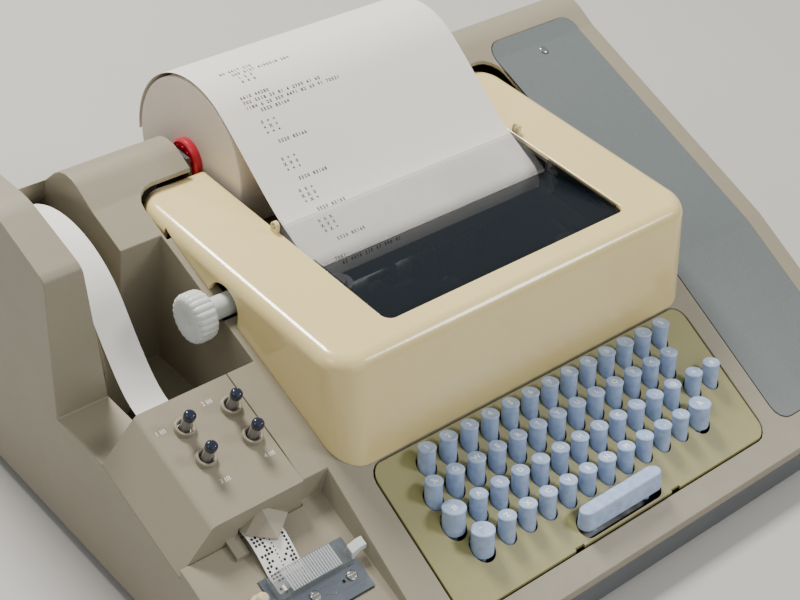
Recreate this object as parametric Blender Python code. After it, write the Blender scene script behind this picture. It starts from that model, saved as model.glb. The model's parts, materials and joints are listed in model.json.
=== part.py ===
# Desk teleprinter: keyboard, page printer with a paper roll, tape punch and tape reader.
# Metres, +Z up, the typist sits at -Y, origin under the middle of the base.
import math

import bmesh
import bpy
from mathutils import Matrix, Vector

mm = 0.001

# Driving dimensions of the whole machine
body_width = 572 * mm
body_depth = 470 * mm
foot_height = 3 * mm
wall = 3 * mm
gap = 0.3 * mm
overrun = 40 * mm
far = 400 * mm

half_width = body_width / 2
front_y = -body_depth / 2
rear_y = body_depth / 2

# The roof line seen from the side: keyboard slope, flatter deck, crest, rear slope
lip_z = 31 * mm
keyboard_slope = 0.5027
deck_slope = 0.347
keyboard_run = 152.569 * mm
deck_end_from_front = 353 * mm
deck_end_y = front_y + deck_end_from_front
crest_from_front = 387 * mm
crest_y = front_y + crest_from_front
crest_z = 195 * mm
rear_knee_z = 106 * mm
cover_bottom_z = 9 * mm
plinth_top_z = 24 * mm
plinth_depth = 6 * mm
roof_radius = 26 * mm
knee_radius = 20 * mm

arc_steps = 4
round_sides = 24
inner_sides = 16
small_sides = 10


def keyboard_z(y):
    return lip_z + keyboard_slope * (y - front_y)


kink_y = front_y + keyboard_run
deck_rise = keyboard_z(kink_y) - deck_slope * kink_y


def deck_z(y):
    return deck_rise + deck_slope * y


def remove_all():
    for item in list(bpy.data.objects):
        bpy.data.objects.remove(item, do_unlink=True)


materials = {}


def material(name, color, roughness, metallic=0.0):
    if name not in materials:
        made = bpy.data.materials.new(name)
        made.use_nodes = True
        shader = made.node_tree.nodes["Principled BSDF"]
        shader.inputs["Base Color"].default_value = (*color, 1.0)
        shader.inputs["Roughness"].default_value = roughness
        shader.inputs["Metallic"].default_value = metallic
        made.diffuse_color = (*color, 1.0)
        materials[name] = made
    return materials[name]


def taupe():
    return material("taupe_plastic", (0.30, 0.26, 0.18), 0.5)


def steel():
    return material("plated_steel", (0.35, 0.37, 0.40), 0.35, 0.9)


def dark_metal():
    return material("dark_metal", (0.05, 0.055, 0.06), 0.5, 0.6)


# Outline helpers: outlines are lists of two-dimensional points

def rounded(points, radii, closed=True):
    """Rounds the corners of an outline with arcs."""
    made = []
    count = len(points)
    for index, point in enumerate(points):
        radius = radii[index]
        ends = not closed and index in (0, count - 1)
        if radius == 0 or ends:
            made.append(point)
            continue
        here = Vector(point)
        back = (Vector(points[index - 1]) - here)
        ahead = (Vector(points[(index + 1) % count]) - here)
        room = min(back.length, ahead.length) / 2
        back.normalize()
        ahead.normalize()
        half_angle = back.angle(ahead) / 2
        run = min(radius / math.tan(half_angle), room)
        radius = run * math.tan(half_angle)
        centre = here + (back + ahead).normalized() * (radius / math.sin(half_angle))
        start = here + back * run - centre
        finish = here + ahead * run - centre
        sweep = math.atan2(start.x * finish.y - start.y * finish.x, start.dot(finish))
        for step in range(arc_steps + 1):
            turn = sweep * step / arc_steps
            spoke = Vector((start.x * math.cos(turn) - start.y * math.sin(turn),
                            start.x * math.sin(turn) + start.y * math.cos(turn)))
            made.append(tuple(centre + spoke))
    return made


def offset_path(points, distance):
    """Moves an open line sideways, to the right of its direction."""
    normals = []
    for first, second in zip(points, points[1:]):
        along = (Vector(second) - Vector(first)).normalized()
        normals.append(Vector((along.y, -along.x)))
    made = []
    for index, point in enumerate(points):
        before = normals[max(index - 1, 0)]
        after = normals[min(index, len(normals) - 1)]
        mitre = (before + after).normalized()
        made.append(tuple(Vector(point) + mitre * (distance / mitre.dot(before))))
    return made


def rectangle(u0, u1, v0, v1):
    return [(u0, v0), (u1, v0), (u1, v1), (u0, v1)]


def circle(u, v, radius, sides, phase=0.0):
    return [(u + radius * math.cos(phase + math.tau * step / sides),
             v + radius * math.sin(phase + math.tau * step / sides)) for step in range(sides)]


def arc(centre, radius, start, finish, steps):
    return [(centre[0] + radius * math.cos(start + (finish - start) * step / steps),
             centre[1] + radius * math.sin(start + (finish - start) * step / steps))
            for step in range(steps + 1)]


# Solid helpers: every solid is a bmesh that is closed and faces outwards

def place(axis, u, v, w):
    return {"x": (w, u, v), "y": (u, w, v), "z": (u, v, w)}[axis]


def prism(axis, outline, low, high, shear=0.0):
    """Extrudes an outline along an axis; a prism along y may climb with a slope."""
    solid = bmesh.new()
    ends = []
    for w in (low, high):
        lift = shear * w
        ends.append([solid.verts.new(place(axis, u, v + lift, w)) for u, v in outline])
    count = len(outline)
    solid.faces.new(ends[0])
    solid.faces.new(ends[1])
    for index in range(count):
        after = (index + 1) % count
        solid.faces.new((ends[0][index], ends[0][after], ends[1][after], ends[1][index]))
    bmesh.ops.recalc_face_normals(solid, faces=solid.faces)
    return solid


def box(x0, x1, y0, y1, z0, z1):
    return prism("z", rectangle(x0, x1, y0, y1), z0, z1)


def turned(profile, sides=round_sides, loop=False):
    """Turns a profile of (radius, height) points about z; a loop leaves a bore."""
    solid = bmesh.new()
    rings = []
    for radius, height in profile:
        if radius == 0:
            rings.append([solid.verts.new((0, 0, height))])
        else:
            rings.append([solid.verts.new((x, y, height)) for x, y in circle(0, 0, radius, sides)])
    for end in ([] if loop else [rings[0], rings[-1]]):
        if len(end) > 1:
            solid.faces.new(end)
    for lower, upper in zip(rings, rings[1:] + rings[:1] if loop else rings[1:]):
        for index in range(sides):
            after = (index + 1) % sides
            if len(lower) == 1:
                solid.faces.new((lower[0], upper[index], upper[after]))
            elif len(upper) == 1:
                solid.faces.new((lower[index], lower[after], upper[0]))
            else:
                solid.faces.new((lower[index], lower[after], upper[after], upper[index]))
    bmesh.ops.recalc_face_normals(solid, faces=solid.faces)
    return solid


def tube_ring(inner, outer, low, high, sides=round_sides):
    """A plain ring about z."""
    return turned([(inner, low), (outer, low), (outer, high), (inner, high)], sides, loop=True)


def band(axis, path, thickness, low, high):
    """A thin strip that follows a path, centred on it."""
    return prism(axis, offset_path(path, thickness / 2)
                 + list(reversed(offset_path(path, -thickness / 2))), low, high)


def moved(solid, offset=(0, 0, 0), axis=None):
    """Puts a solid made about z at a place, with its z turned to an axis."""
    matrix = Matrix.Translation(Vector(offset))
    if axis is not None:
        matrix = matrix @ Vector((0, 0, 1)).rotation_difference(Vector(axis)).to_matrix().to_4x4()
    bmesh.ops.transform(solid, matrix=matrix, verts=solid.verts)
    return solid


def along_x(profile, y, z, sides=round_sides):
    """Turns a profile of (radius, x) points about an axis along x."""
    return moved(turned(profile, sides), (0, y, z), (1, 0, 0))


def joined(*solids):
    """Puts several bodies in one mesh without joining them."""
    made = bmesh.new()
    for solid in solids:
        spare = bpy.data.meshes.new("spare")
        solid.to_mesh(spare)
        solid.free()
        made.from_mesh(spare)
        bpy.data.meshes.remove(spare)
    return made


def combined(operation, base, *tools):
    """Runs exact Booleans on bmesh solids and returns a new one."""
    holder = loose_object("base", base)
    helpers = []
    for tool in tools:
        helper = loose_object("tool", tool)
        modifier = holder.modifiers.new("cut", "BOOLEAN")
        modifier.object = helper
        modifier.operation = operation
        modifier.solver = "EXACT"
        helpers.append(helper)
    graph = bpy.context.evaluated_depsgraph_get()
    graph.update()
    result = bmesh.new()
    result.from_mesh(holder.evaluated_get(graph).to_mesh())
    for item in [holder] + helpers:
        bpy.data.objects.remove(item, do_unlink=True)
    return result


def loose_object(name, solid):
    mesh = bpy.data.meshes.new(name)
    solid.to_mesh(mesh)
    solid.free()
    made = bpy.data.objects.new(name, mesh)
    bpy.context.collection.objects.link(made)
    return made


def less(base, *tools):
    return combined("DIFFERENCE", base, *tools)


def union(base, *tools):
    return combined("UNION", base, *tools)


def common(base, *tools):
    return combined("INTERSECT", base, *tools)


def piece(name, solid, finish, pivot=(0, 0, 0), smooth=math.radians(35)):
    """Names a finished solid, gives it its material and puts its origin on its joint."""
    centre = Vector(pivot)
    bmesh.ops.transform(solid, matrix=Matrix.Translation(-centre), verts=solid.verts)
    mesh = bpy.data.meshes.new(name)
    solid.to_mesh(mesh)
    solid.free()
    mesh.materials.append(finish)
    mesh.shade_smooth()
    mesh.set_sharp_from_angle(angle=smooth)
    made = bpy.data.objects.new(name, mesh)
    made.location = centre
    bpy.context.collection.objects.link(made)
    return made


remove_all()

# Tape unit on the left, kept for the cover, the punch and the tape
hump_top_width = 26 * mm
hump_width = 39 * mm
hump_inner_top_x = -half_width + hump_top_width
hump_inner_x = -half_width + hump_width
hump_front_from_front = 265 * mm
hump_front_y = front_y + hump_front_from_front
hump_lean = 12 * mm
hump_front_z = 203 * mm
hump_top_z = 222 * mm
hump_top_from_front = 335 * mm
hump_top_y = front_y + hump_top_from_front
hump_rear_top_from_front = 400 * mm
hump_rear_top_y = front_y + hump_rear_top_from_front
hump_rear_top_z = 218 * mm
hump_rear_z = 112 * mm
ledge_z = 100 * mm
well_width = 45.5 * mm
well_right_x = hump_inner_x + well_width
well_rear_from_front = 441 * mm
well_rear_y = front_y + well_rear_from_front
well_mouth_rear_from_front = 411 * mm
well_mouth_rear_y = front_y + well_mouth_rear_from_front
well_under_z = 156 * mm
well_under_drop = 36 * mm
pocket_width = 32.5 * mm
pocket_right_x = well_right_x + pocket_width
pocket_rear_from_front = 319 * mm
pocket_rear_y = front_y + pocket_rear_from_front
pocket_floor_z = 60 * mm

# Punch cover
punch_width = 95.2 * mm
punch_left_x = -half_width
punch_right_x = punch_left_x + punch_width
punch_front_from_front = 130 * mm
punch_front_y = front_y + punch_front_from_front
punch_rear_from_front = 214 * mm
punch_rear_y = front_y + punch_rear_from_front
punch_skirt = 29 * mm
punch_shoulder = 24.5 * mm
punch_wall = 2.4 * mm

# Tape reader deck, a shallow recess in front of the punch
reader_right_x = pocket_right_x
reader_wall_lean = 5 * mm
reader_slope = 0.36
reader_drop = 21.665 * mm
reader_rise = deck_z(punch_front_y) - reader_drop - reader_slope * punch_front_y
reader_plate_front_from_front = 65.5 * mm
reader_plate_front_y = front_y + reader_plate_front_from_front
reader_plate_rear_from_front = 101 * mm
reader_plate_rear_y = front_y + reader_plate_rear_from_front
reader_plate_inset = 38 * mm
reader_plate_width = 66 * mm
reader_plate_left_x = -half_width + reader_plate_inset
reader_plate_right_x = reader_plate_left_x + reader_plate_width
reader_plate_thickness = 2 * mm
reader_rim = 1.2 * mm


def reader_z(y):
    return reader_rise + reader_slope * y


# Printer lid
lid_left_from_left = 122 * mm
lid_left_x = -half_width + lid_left_from_left
lid_right_from_left = 457 * mm
lid_right_x = -half_width + lid_right_from_left
lid_front_from_front = 123 * mm
lid_front_y = front_y + lid_front_from_front
lid_face_lean = 13.5 * mm
lid_top_z = 172 * mm
lid_rear_from_front = 354 * mm
lid_rear_y = front_y + lid_rear_from_front
lid_rest_from_front = 323 * mm
lid_rest_y = front_y + lid_rest_from_front
lid_foot_z = 158 * mm
lid_top_radius = 10 * mm
lid_plan_radius = 16 * mm
lid_seat = 8 * mm
lid_clearance = 3 * mm
window_left_from_left = 180 * mm
window_left_x = -half_width + window_left_from_left
window_right_from_left = 405 * mm
window_right_x = -half_width + window_right_from_left
window_front_from_front = 159 * mm
window_front_y = front_y + window_front_from_front

# Paper and platen
paper_left_from_left = 185 * mm
paper_left_x = -half_width + paper_left_from_left
paper_width = 216 * mm
paper_thickness = 0.3 * mm
paper_right_x = paper_left_x + paper_width
platen_from_front = 255 * mm
platen_y = front_y + platen_from_front
platen_z = 146 * mm
platen_radius = 16.5 * mm
platen_overhang = 3 * mm
platen_shaft_radius = 4 * mm
roll_from_front = 381 * mm
roll_y = front_y + roll_from_front
roll_z = 168 * mm
roll_radius = 60 * mm
trough_left_margin = 17 * mm
trough_right_margin = 21 * mm
trough_left_x = paper_left_x - trough_left_margin
trough_right_x = paper_right_x + trough_right_margin
trough_front_from_front = 315 * mm
trough_front_y = front_y + trough_front_from_front
trough_rear_from_front = 449 * mm
trough_rear_y = front_y + trough_rear_from_front
knob_radius = 17.5 * mm
knob_sleeve_radius = 8 * mm
knob_face_from_left = 92 * mm
knob_face_x = -half_width + knob_face_from_left
knob_thickness = 16 * mm
shaft_clearance = 2 * mm
frame_left_from_left = 173 * mm
frame_left_x = -half_width + frame_left_from_left
frame_right_from_left = 410 * mm
frame_right_x = -half_width + frame_right_from_left
frame_plate = 3 * mm

# Keyboard
key_pitch = 19.05 * mm
row_step_from_front = 254.1 * mm
row_step_y = front_y + row_step_from_front
row_step_z = 9.6 * mm
first_key_from_left = 180 * mm
first_key_x = -half_width + first_key_from_left
first_key_from_front = 109 * mm
first_key_y = front_y + first_key_from_front
key_rise = 14.2057 * mm
first_key_z = keyboard_z(first_key_y) + key_rise
key_tilt = math.radians(8)
key_radius = 6.35 * mm
large_key_radius = 8.2 * mm
plate_left_from_left = 142 * mm
plate_left_x = -half_width + plate_left_from_left
plate_right_from_left = 443 * mm
plate_right_x = -half_width + plate_right_from_left
plate_front_from_front = 19.5 * mm
plate_front_y = front_y + plate_front_from_front
plate_rear_from_front = 121.5 * mm
plate_rear_y = front_y + plate_rear_from_front
plate_thickness = 2.6 * mm
plate_corner = 12 * mm
plate_groove = 1.4 * mm

# Side panel on the right
panel_left_from_left = 461 * mm
panel_left_x = -half_width + panel_left_from_left
panel_right_from_right = 16 * mm
panel_right_x = half_width - panel_right_from_right
panel_front_from_front = 21 * mm
panel_front_y = front_y + panel_front_from_front
panel_rear_from_front = 367 * mm
panel_rear_y = front_y + panel_rear_from_front
panel_thickness = 1.5 * mm
panel_corner = 12 * mm
panel_gap = 0.5 * mm

# Cable bush at the rear
bush_from_right = 106 * mm
bush_x = half_width - bush_from_right
bush_z = 45 * mm
bush_radius = 8 * mm
bush_bore = 4 * mm
bush_flange = 4 * mm

roof_corners = [(front_y, lip_z), (kink_y, deck_z(kink_y)), (deck_end_y, deck_z(deck_end_y)),
                (crest_y, crest_z), (rear_y, rear_knee_z)]


def roof_line(depth=0.0):
    """The roof from the front lip to the rear knee, moved inwards by a depth."""
    radii = [0, roof_radius * 2, roof_radius, roof_radius, 0]
    line = rounded(roof_corners, radii, closed=False)
    return offset_path(line, depth) if depth else line


def under_roof(depth, bottom_z, front, rear):
    """Everything below the roof line between two places."""
    line = [point for point in roof_line(depth) if front < point[0] < rear]
    start = (front, keyboard_z(front) - depth * math.hypot(1, keyboard_slope))
    rear_slope = (rear_knee_z - crest_z) / (rear_y - crest_y)
    finish = (rear, rear_knee_z + rear_slope * (rear - rear_y) - depth * math.hypot(1, rear_slope))
    return [(front, bottom_z), start] + line + [finish, (rear, bottom_z)]


# Cuts in the cover; each may be grown by a wall so that the same cut shapes the inside

def cut_tape_well(grow=0.0):
    low = cover_bottom_z - overrun
    outline = [(punch_rear_y - grow, low), (punch_rear_y - grow, far),
               (well_mouth_rear_y + grow, far), (well_mouth_rear_y + grow, well_under_z),
               (well_rear_y + grow, well_under_z - well_under_drop), (well_rear_y + grow, low)]
    return prism("x", outline, hump_inner_x - grow, well_right_x + grow)


def cut_knob_pocket(grow=0.0):
    return box(well_right_x - overrun, pocket_right_x + grow, punch_rear_y - grow,
               pocket_rear_y + grow, pocket_floor_z - grow, far)


def cut_ledge(grow=0.0):
    outline = [(punch_rear_y, ledge_z - grow), (hump_front_y + grow, ledge_z - grow),
               (hump_front_y + hump_lean * (far - ledge_z) / (hump_front_z - ledge_z) + grow, far),
               (punch_rear_y, far)]
    return prism("x", outline, -half_width - overrun, hump_inner_x + grow + wall)


def cut_hump_flare(grow=0.0):
    outline = [(hump_inner_x - grow, ledge_z), (hump_inner_top_x - grow, hump_top_z),
               (hump_inner_top_x - grow, far), (well_right_x, far), (well_right_x, ledge_z)]
    return prism("y", outline, punch_rear_y, well_mouth_rear_y + grow)


def cut_punch(grow=0.0):
    outline = rectangle(-half_width - overrun, punch_right_x + grow,
                        deck_rise - punch_skirt - grow, far)
    return prism("y", outline, punch_front_y - grow, punch_rear_y + (grow if grow else gap),
                 deck_slope)


def cut_reader(grow=0.0):
    lean = reader_wall_lean
    outline = [(-half_width - overrun, reader_rise - grow),
               (reader_right_x - lean + grow, reader_rise - grow),
               (reader_right_x + grow, reader_rise + plinth_top_z),
               (reader_right_x + grow, far), (-half_width - overrun, far)]
    return prism("y", outline, front_y - overrun, punch_front_y + punch_wall + gap + grow,
                 reader_slope)


def cut_reader_plate(grow=0.0):
    drop = reader_plate_thickness - reader_rim
    outline = rectangle(reader_plate_left_x - gap - grow, reader_plate_right_x + gap + grow,
                        reader_rise - drop - gap - grow, far)
    return prism("y", outline, reader_plate_front_y - gap - grow,
                 reader_plate_rear_y + gap + grow, reader_slope)


def build_main_cover():
    outline = [(front_y, plinth_top_z)] + under_roof(0, 0, front_y, rear_y)[1:-1]
    outline += [(rear_y, cover_bottom_z), (front_y + plinth_depth, cover_bottom_z),
                (front_y + plinth_depth, plinth_top_z)]
    outer = prism("x", outline, -half_width, half_width)
    hump_outline = rounded(
        [(hump_front_y, ledge_z - wall), (hump_front_y + hump_lean, hump_front_z),
         (hump_top_y, hump_top_z), (hump_rear_top_y, hump_rear_top_z),
         (rear_y - wall / 2, hump_rear_z), (rear_y - wall / 2, ledge_z - wall)],
        [0, knee_radius / 2, roof_radius * 2, roof_radius * 2, knee_radius, 0])
    hump = prism("x", hump_outline, -half_width, hump_inner_x)
    outer = union(outer, hump)
    outer = less(outer, cut_tape_well(), cut_knob_pocket(), cut_ledge(), cut_hump_flare(),
                 cut_punch(), cut_reader(), cut_reader_plate())

    low = cover_bottom_z - overrun
    inside = prism("x", under_roof(wall, low, front_y + plinth_depth + wall, rear_y - wall),
                   -half_width + wall, half_width - wall)
    inner_hump = rounded(
        [(hump_front_y + wall, ledge_z - overrun),
         (hump_front_y + hump_lean + wall, hump_front_z - wall),
         (hump_top_y, hump_top_z - wall), (hump_rear_top_y - wall / 2, hump_rear_top_z - wall),
         (rear_y - wall * 2, hump_rear_z), (rear_y - wall * 2, ledge_z - overrun)],
        [0, knee_radius / 2, roof_radius * 2, roof_radius * 2, knee_radius, 0])
    inside = union(inside, prism("x", inner_hump, -half_width + wall, hump_inner_x - wall))
    inside = less(inside, cut_tape_well(wall), cut_knob_pocket(wall), cut_ledge(wall),
                  cut_hump_flare(wall), cut_punch(wall), cut_reader(wall), cut_reader_plate(wall))
    cover = less(outer, inside)

    printer_mouth = box(lid_left_x + lid_seat, lid_right_x - lid_seat, lid_front_y + lid_seat,
                        lid_rest_y, lip_z, far)
    arm_recess = prism("z", rounded(
        rectangle(lid_left_x - lid_clearance, lid_right_x + lid_clearance,
                  lid_rest_y - lid_seat, lid_rear_y + lid_clearance),
        [0, 0, lid_plan_radius, lid_plan_radius]), lid_foot_z - overrun, far)
    trough = box(trough_left_x, trough_right_x, trough_front_y, trough_rear_y, lip_z, far)
    keyboard_mouth = prism("z", rounded(
        rectangle(plate_left_x - plate_groove, plate_right_x + plate_groove,
                  plate_front_y - plate_groove, plate_rear_y + plate_groove),
        [plate_corner] * 4), plinth_top_z / 2, keyboard_z(plate_rear_y) + overrun / 4)
    punch_mouth = box(punch_left_x + punch_shoulder + wall, punch_right_x - wall * 2,
                      punch_front_y + wall * 3, punch_rear_y + overrun, lip_z, far)
    notch_radius = knob_sleeve_radius + shaft_clearance
    shaft_notch = prism("x", [(platen_y - notch_radius, far)] + [
        (platen_y + notch_radius * math.cos(turn), platen_z + notch_radius * math.sin(turn))
        for turn in (math.pi + math.pi * step / (arc_steps * 2)
                     for step in range(arc_steps * 2 + 1))] + [(platen_y + notch_radius, far)],
                        pocket_right_x - wall, lid_left_x + lid_seat + wall)
    panel_recess = less(panel_zone(0), prism("x", under_roof(
        panel_thickness, low, front_y - overrun, rear_y + overrun), 0, half_width + overrun))
    bush_hole = moved(turned([(bush_radius + gap, 0), (bush_radius + gap, overrun)]),
                      (bush_x, rear_y - overrun / 2, bush_z), (0, 1, 0))
    cover = less(cover, printer_mouth, arm_recess, trough, keyboard_mouth, punch_mouth,
                 shaft_notch, panel_recess, bush_hole,
                 screw_holes(panel_screw_places() + reader_screw_places()))
    piece("main_cover", cover, taupe())


def panel_zone(shrink):
    corners = rectangle(panel_left_x + shrink, panel_right_x - shrink,
                        panel_front_y + shrink, panel_rear_y - shrink)
    return prism("z", rounded(corners, [panel_corner] * 4), plinth_top_z, far)


screw_radius = 3.6 * mm
screw_height = 1.4 * mm
screw_shank = 1.6 * mm
screw_length = 6 * mm
panel_screw_rear_inset = 6 * mm
panel_screw_front_inset = 14 * mm
mode_knob_radius = 12 * mm
mode_knob_height = 15 * mm
mode_knob_from_left = 532 * mm
mode_knob_x = -half_width + mode_knob_from_left
mode_knob_from_front = 37 * mm
mode_knob_y = front_y + mode_knob_from_front


def roof_normal(slope):
    return Vector((0, -slope, 1)).normalized()


def screw():
    """A pan head on a short shank; its seat is at height 0."""
    return turned([(0, -screw_length), (screw_shank, -screw_length), (screw_shank, 0),
                   (screw_radius, 0), (screw_radius, screw_height / 2),
                   (screw_radius * 0.7, screw_height), (0, screw_height)], small_sides)


def panel_screw_places():
    middle = (panel_left_x + panel_right_x) / 2
    rear = deck_end_y - panel_screw_rear_inset
    front = panel_front_y + panel_screw_front_inset
    return [(middle, rear, deck_z(rear), roof_normal(deck_slope)),
            (middle, front, keyboard_z(front), roof_normal(keyboard_slope))]


def screw_holes(places):
    cutters = []
    for x, y, z, normal in places:
        hole = turned([(screw_shank + gap, -overrun / 4), (screw_shank + gap, overrun / 4)],
                      small_sides)
        cutters.append(moved(hole, (x, y, z), normal))
    return joined(*cutters)


def build_side_panel():
    roof = prism("x", under_roof(0, 0, front_y, rear_y), 0, half_width)
    panel = common(panel_zone(panel_gap), roof)
    panel = less(panel, prism("x", under_roof(panel_thickness - gap, -overrun, front_y - overrun,
                                              rear_y + overrun), -overrun, half_width + overrun))
    panel = less(panel, screw_holes(panel_screw_places()))
    piece("side_panel", panel, material("grey_blue_paint", (0.20, 0.23, 0.23), 0.45))


def build_mode_knob():
    normal = roof_normal(keyboard_slope)
    seat = Vector((mode_knob_x, mode_knob_y, keyboard_z(mode_knob_y))) + normal * gap
    skirt = turned([(mode_knob_radius, 0), (mode_knob_radius, mode_knob_height * 0.2),
                    (mode_knob_radius * 0.8, mode_knob_height * 0.3),
                    (mode_knob_radius * 0.74, mode_knob_height)], round_sides)
    pointer = box(-mode_knob_radius * 0.12, mode_knob_radius * 0.12, 0, mode_knob_radius * 0.9,
                  mode_knob_height * 0.25, mode_knob_height * 1.08)
    piece("mode_knob", moved(union(skirt, pointer), seat, normal),
          material("knob_black", (0.02, 0.02, 0.022), 0.4), seat)


# Base pan and feet
pan_floor = 2 * mm
pan_clearance = 0.6 * mm
foot_radius = 14 * mm
foot_inset_from_left = 332 * mm
foot_inset_x = -half_width + foot_inset_from_left
foot_inset_from_front = 280 * mm
foot_inset_y = front_y + foot_inset_from_front


def build_base():
    floor_z = foot_height + pan_floor
    inner = half_width - wall - pan_clearance
    front = front_y + plinth_depth + wall + pan_clearance
    rear = rear_y - wall - pan_clearance
    tray = box(-inner, inner, front, rear, foot_height, plinth_top_z)
    plinth = box(-half_width, half_width, front_y, front_y + plinth_depth - gap, foot_height,
                 plinth_top_z - gap)
    bridge = box(-inner, inner, front_y + wall, front + pan_floor, foot_height, cover_bottom_z - gap * 2)
    pan = union(tray, plinth, bridge)
    hollow = box(-inner + pan_floor, inner - pan_floor, front + pan_floor, rear - pan_floor,
                 floor_z, far)
    piece("base_pan", less(pan, hollow), material("pan_grey", (0.12, 0.13, 0.14), 0.55, 0.3))
    for end, end_name in ((-1, "front"), (1, "rear")):
        for side, side_name in ((-1, "left"), (1, "right")):
            foot = turned([(foot_radius * 0.9, 0), (foot_radius, foot_height - gap)], round_sides)
            place_at = (side * (half_width - foot_inset_x), end * (rear_y - foot_inset_y), 0)
            piece("rubber_foot_%s_%s" % (end_name, side_name), moved(foot, place_at),
                  material("rubber", (0.02, 0.02, 0.02), 0.8))


def build_cable_bush():
    flange = bush_radius + bush_flange
    inside_y = rear_y - wall - gap
    bush = turned([(bush_bore, 0), (bush_radius, 0), (bush_radius, wall + gap),
                   (flange, wall + gap), (flange, wall * 2), (bush_radius, wall * 2),
                   (bush_radius, wall * 4), (bush_bore, wall * 4)], loop=True)
    piece("cable_bush", moved(bush, (bush_x, inside_y + wall + gap, bush_z), (0, -1, 0)),
          material("bush_black", (0.015, 0.015, 0.015), 0.6))


# Punch cover, its buttons and the tape path
button_left_from_left = 47 * mm
button_left_x = -half_width + button_left_from_left
button_right_from_left = 83 * mm
button_right_x = -half_width + button_right_from_left
button_rear_from_front = 193 * mm
button_rear_y = front_y + button_rear_from_front
button_front_from_front = 170 * mm
button_front_y = front_y + button_front_from_front
button_radius = 4.2 * mm
button_height = 14 * mm
button_ball = 4 * mm
button_depth = 5 * mm
collar_radius = 7 * mm
collar_height = 3.5 * mm
button_travel = 3 * mm
deck_normal = roof_normal(deck_slope)


def button_places():
    return [Vector((x, y, deck_z(y))) for y in (button_rear_y, button_front_y)
            for x in (button_left_x, button_right_x)]


def build_punch_cover():
    bottom = deck_rise - punch_skirt + gap
    outline = [(punch_left_x, bottom), (punch_left_x + punch_shoulder, deck_rise),
               (punch_right_x - gap, deck_rise), (punch_right_x - gap, bottom)]
    outline = rounded(outline, [0, punch_shoulder / 4, 0, 0])
    outer = prism("y", outline, punch_front_y + gap, punch_rear_y - gap, deck_slope)
    side = punch_wall * math.hypot(1, punch_shoulder / punch_skirt)
    inset = [(punch_left_x + side, bottom - wall), (punch_left_x + side, bottom),
             (punch_left_x + punch_shoulder + side / 2, deck_rise - punch_wall),
             (punch_right_x - gap - punch_wall, deck_rise - punch_wall),
             (punch_right_x - gap - punch_wall, bottom - wall)]
    inner = prism("y", inset, punch_front_y + gap + punch_wall, punch_rear_y + overrun, deck_slope)
    cover = less(outer, inner)
    slot = box(tape_left_x - tape_clearance, tape_right_x + tape_clearance,
               punch_front_y - overrun, punch_front_y + overrun / 4,
               tape_exit_z - tape_clearance * 2, tape_exit_z + tape_clearance * 2)
    holes = []
    for spot in button_places():
        hole = turned([(button_radius + gap * 2, -overrun / 4), (button_radius + gap * 2, overrun / 4)],
                      small_sides)
        holes.append(moved(hole, spot, deck_normal))
        collar = turned([(collar_radius, -punch_wall / 2), (collar_radius, collar_height)], round_sides)
        cover = union(cover, moved(collar, spot, deck_normal))
    cover = union(cover, tape_hood(), chad_tab())
    piece("punch_cover", less(cover, slot, joined(*holes)), taupe())


def build_punch_buttons():
    names = ("release_button", "on_button", "back_space_button", "off_button")
    blue = material("button_blue", (0.05, 0.07, 0.12), 0.25)
    for name, spot in zip(names, button_places()):
        ball_low = button_height - button_ball
        profile = [(button_radius, -button_depth), (button_radius, ball_low - button_ball / 2),
                   (button_ball * 0.8, ball_low), (button_ball, ball_low + button_ball / 2),
                   (button_ball * 0.7, button_height - button_ball * 0.15), (0, button_height)]
        piece(name, moved(turned(profile, small_sides), spot, deck_normal), blue, spot)


# Tape: 25.4 mm wide, from the roll through the punch to the reader
tape_width = 25.4 * mm
tape_centre_from_left = 58 * mm
tape_centre_x = -half_width + tape_centre_from_left
tape_thickness = 0.3 * mm
tape_clearance = 1.5 * mm
tape_left_x = tape_centre_x - tape_width / 2
tape_right_x = tape_centre_x + tape_width / 2
tape_roll_from_front = 357 * mm
tape_roll_y = front_y + tape_roll_from_front
tape_roll_z = 92 * mm
tape_roll_radius = 80 * mm
tape_core_radius = 25 * mm
tape_hub_radius = 24 * mm
tape_entry_from_front = 239 * mm
tape_entry_y = front_y + tape_entry_from_front
tape_entry_z = 96 * mm
tape_exit_z = 84 * mm
tape_meet_from_front = 175 * mm
tape_meet_y = front_y + tape_meet_from_front
tape_land_from_front = 99.5 * mm
tape_land_y = front_y + tape_land_from_front
tape_end_from_front = 88 * mm
tape_end_y = front_y + tape_end_from_front
tape_bend = 18 * mm
hub_pin_radius = 5 * mm


def bezier(points, steps):
    """A smooth curve through a start, two handles and an end."""
    made = []
    for step in range(steps + 1):
        t = step / steps
        weights = ((1 - t) ** 3, 3 * t * (1 - t) ** 2, 3 * t * t * (1 - t), t ** 3)
        made.append(tuple(sum(w * p[axis] for w, p in zip(weights, points)) for axis in (0, 1)))
    return made


def tape_slope_z(y):
    """Height of the straight run through the punch."""
    share = (tape_entry_y - y) / (tape_entry_y - punch_front_y)
    return tape_entry_z + (tape_exit_z - tape_entry_z) * share


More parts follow.
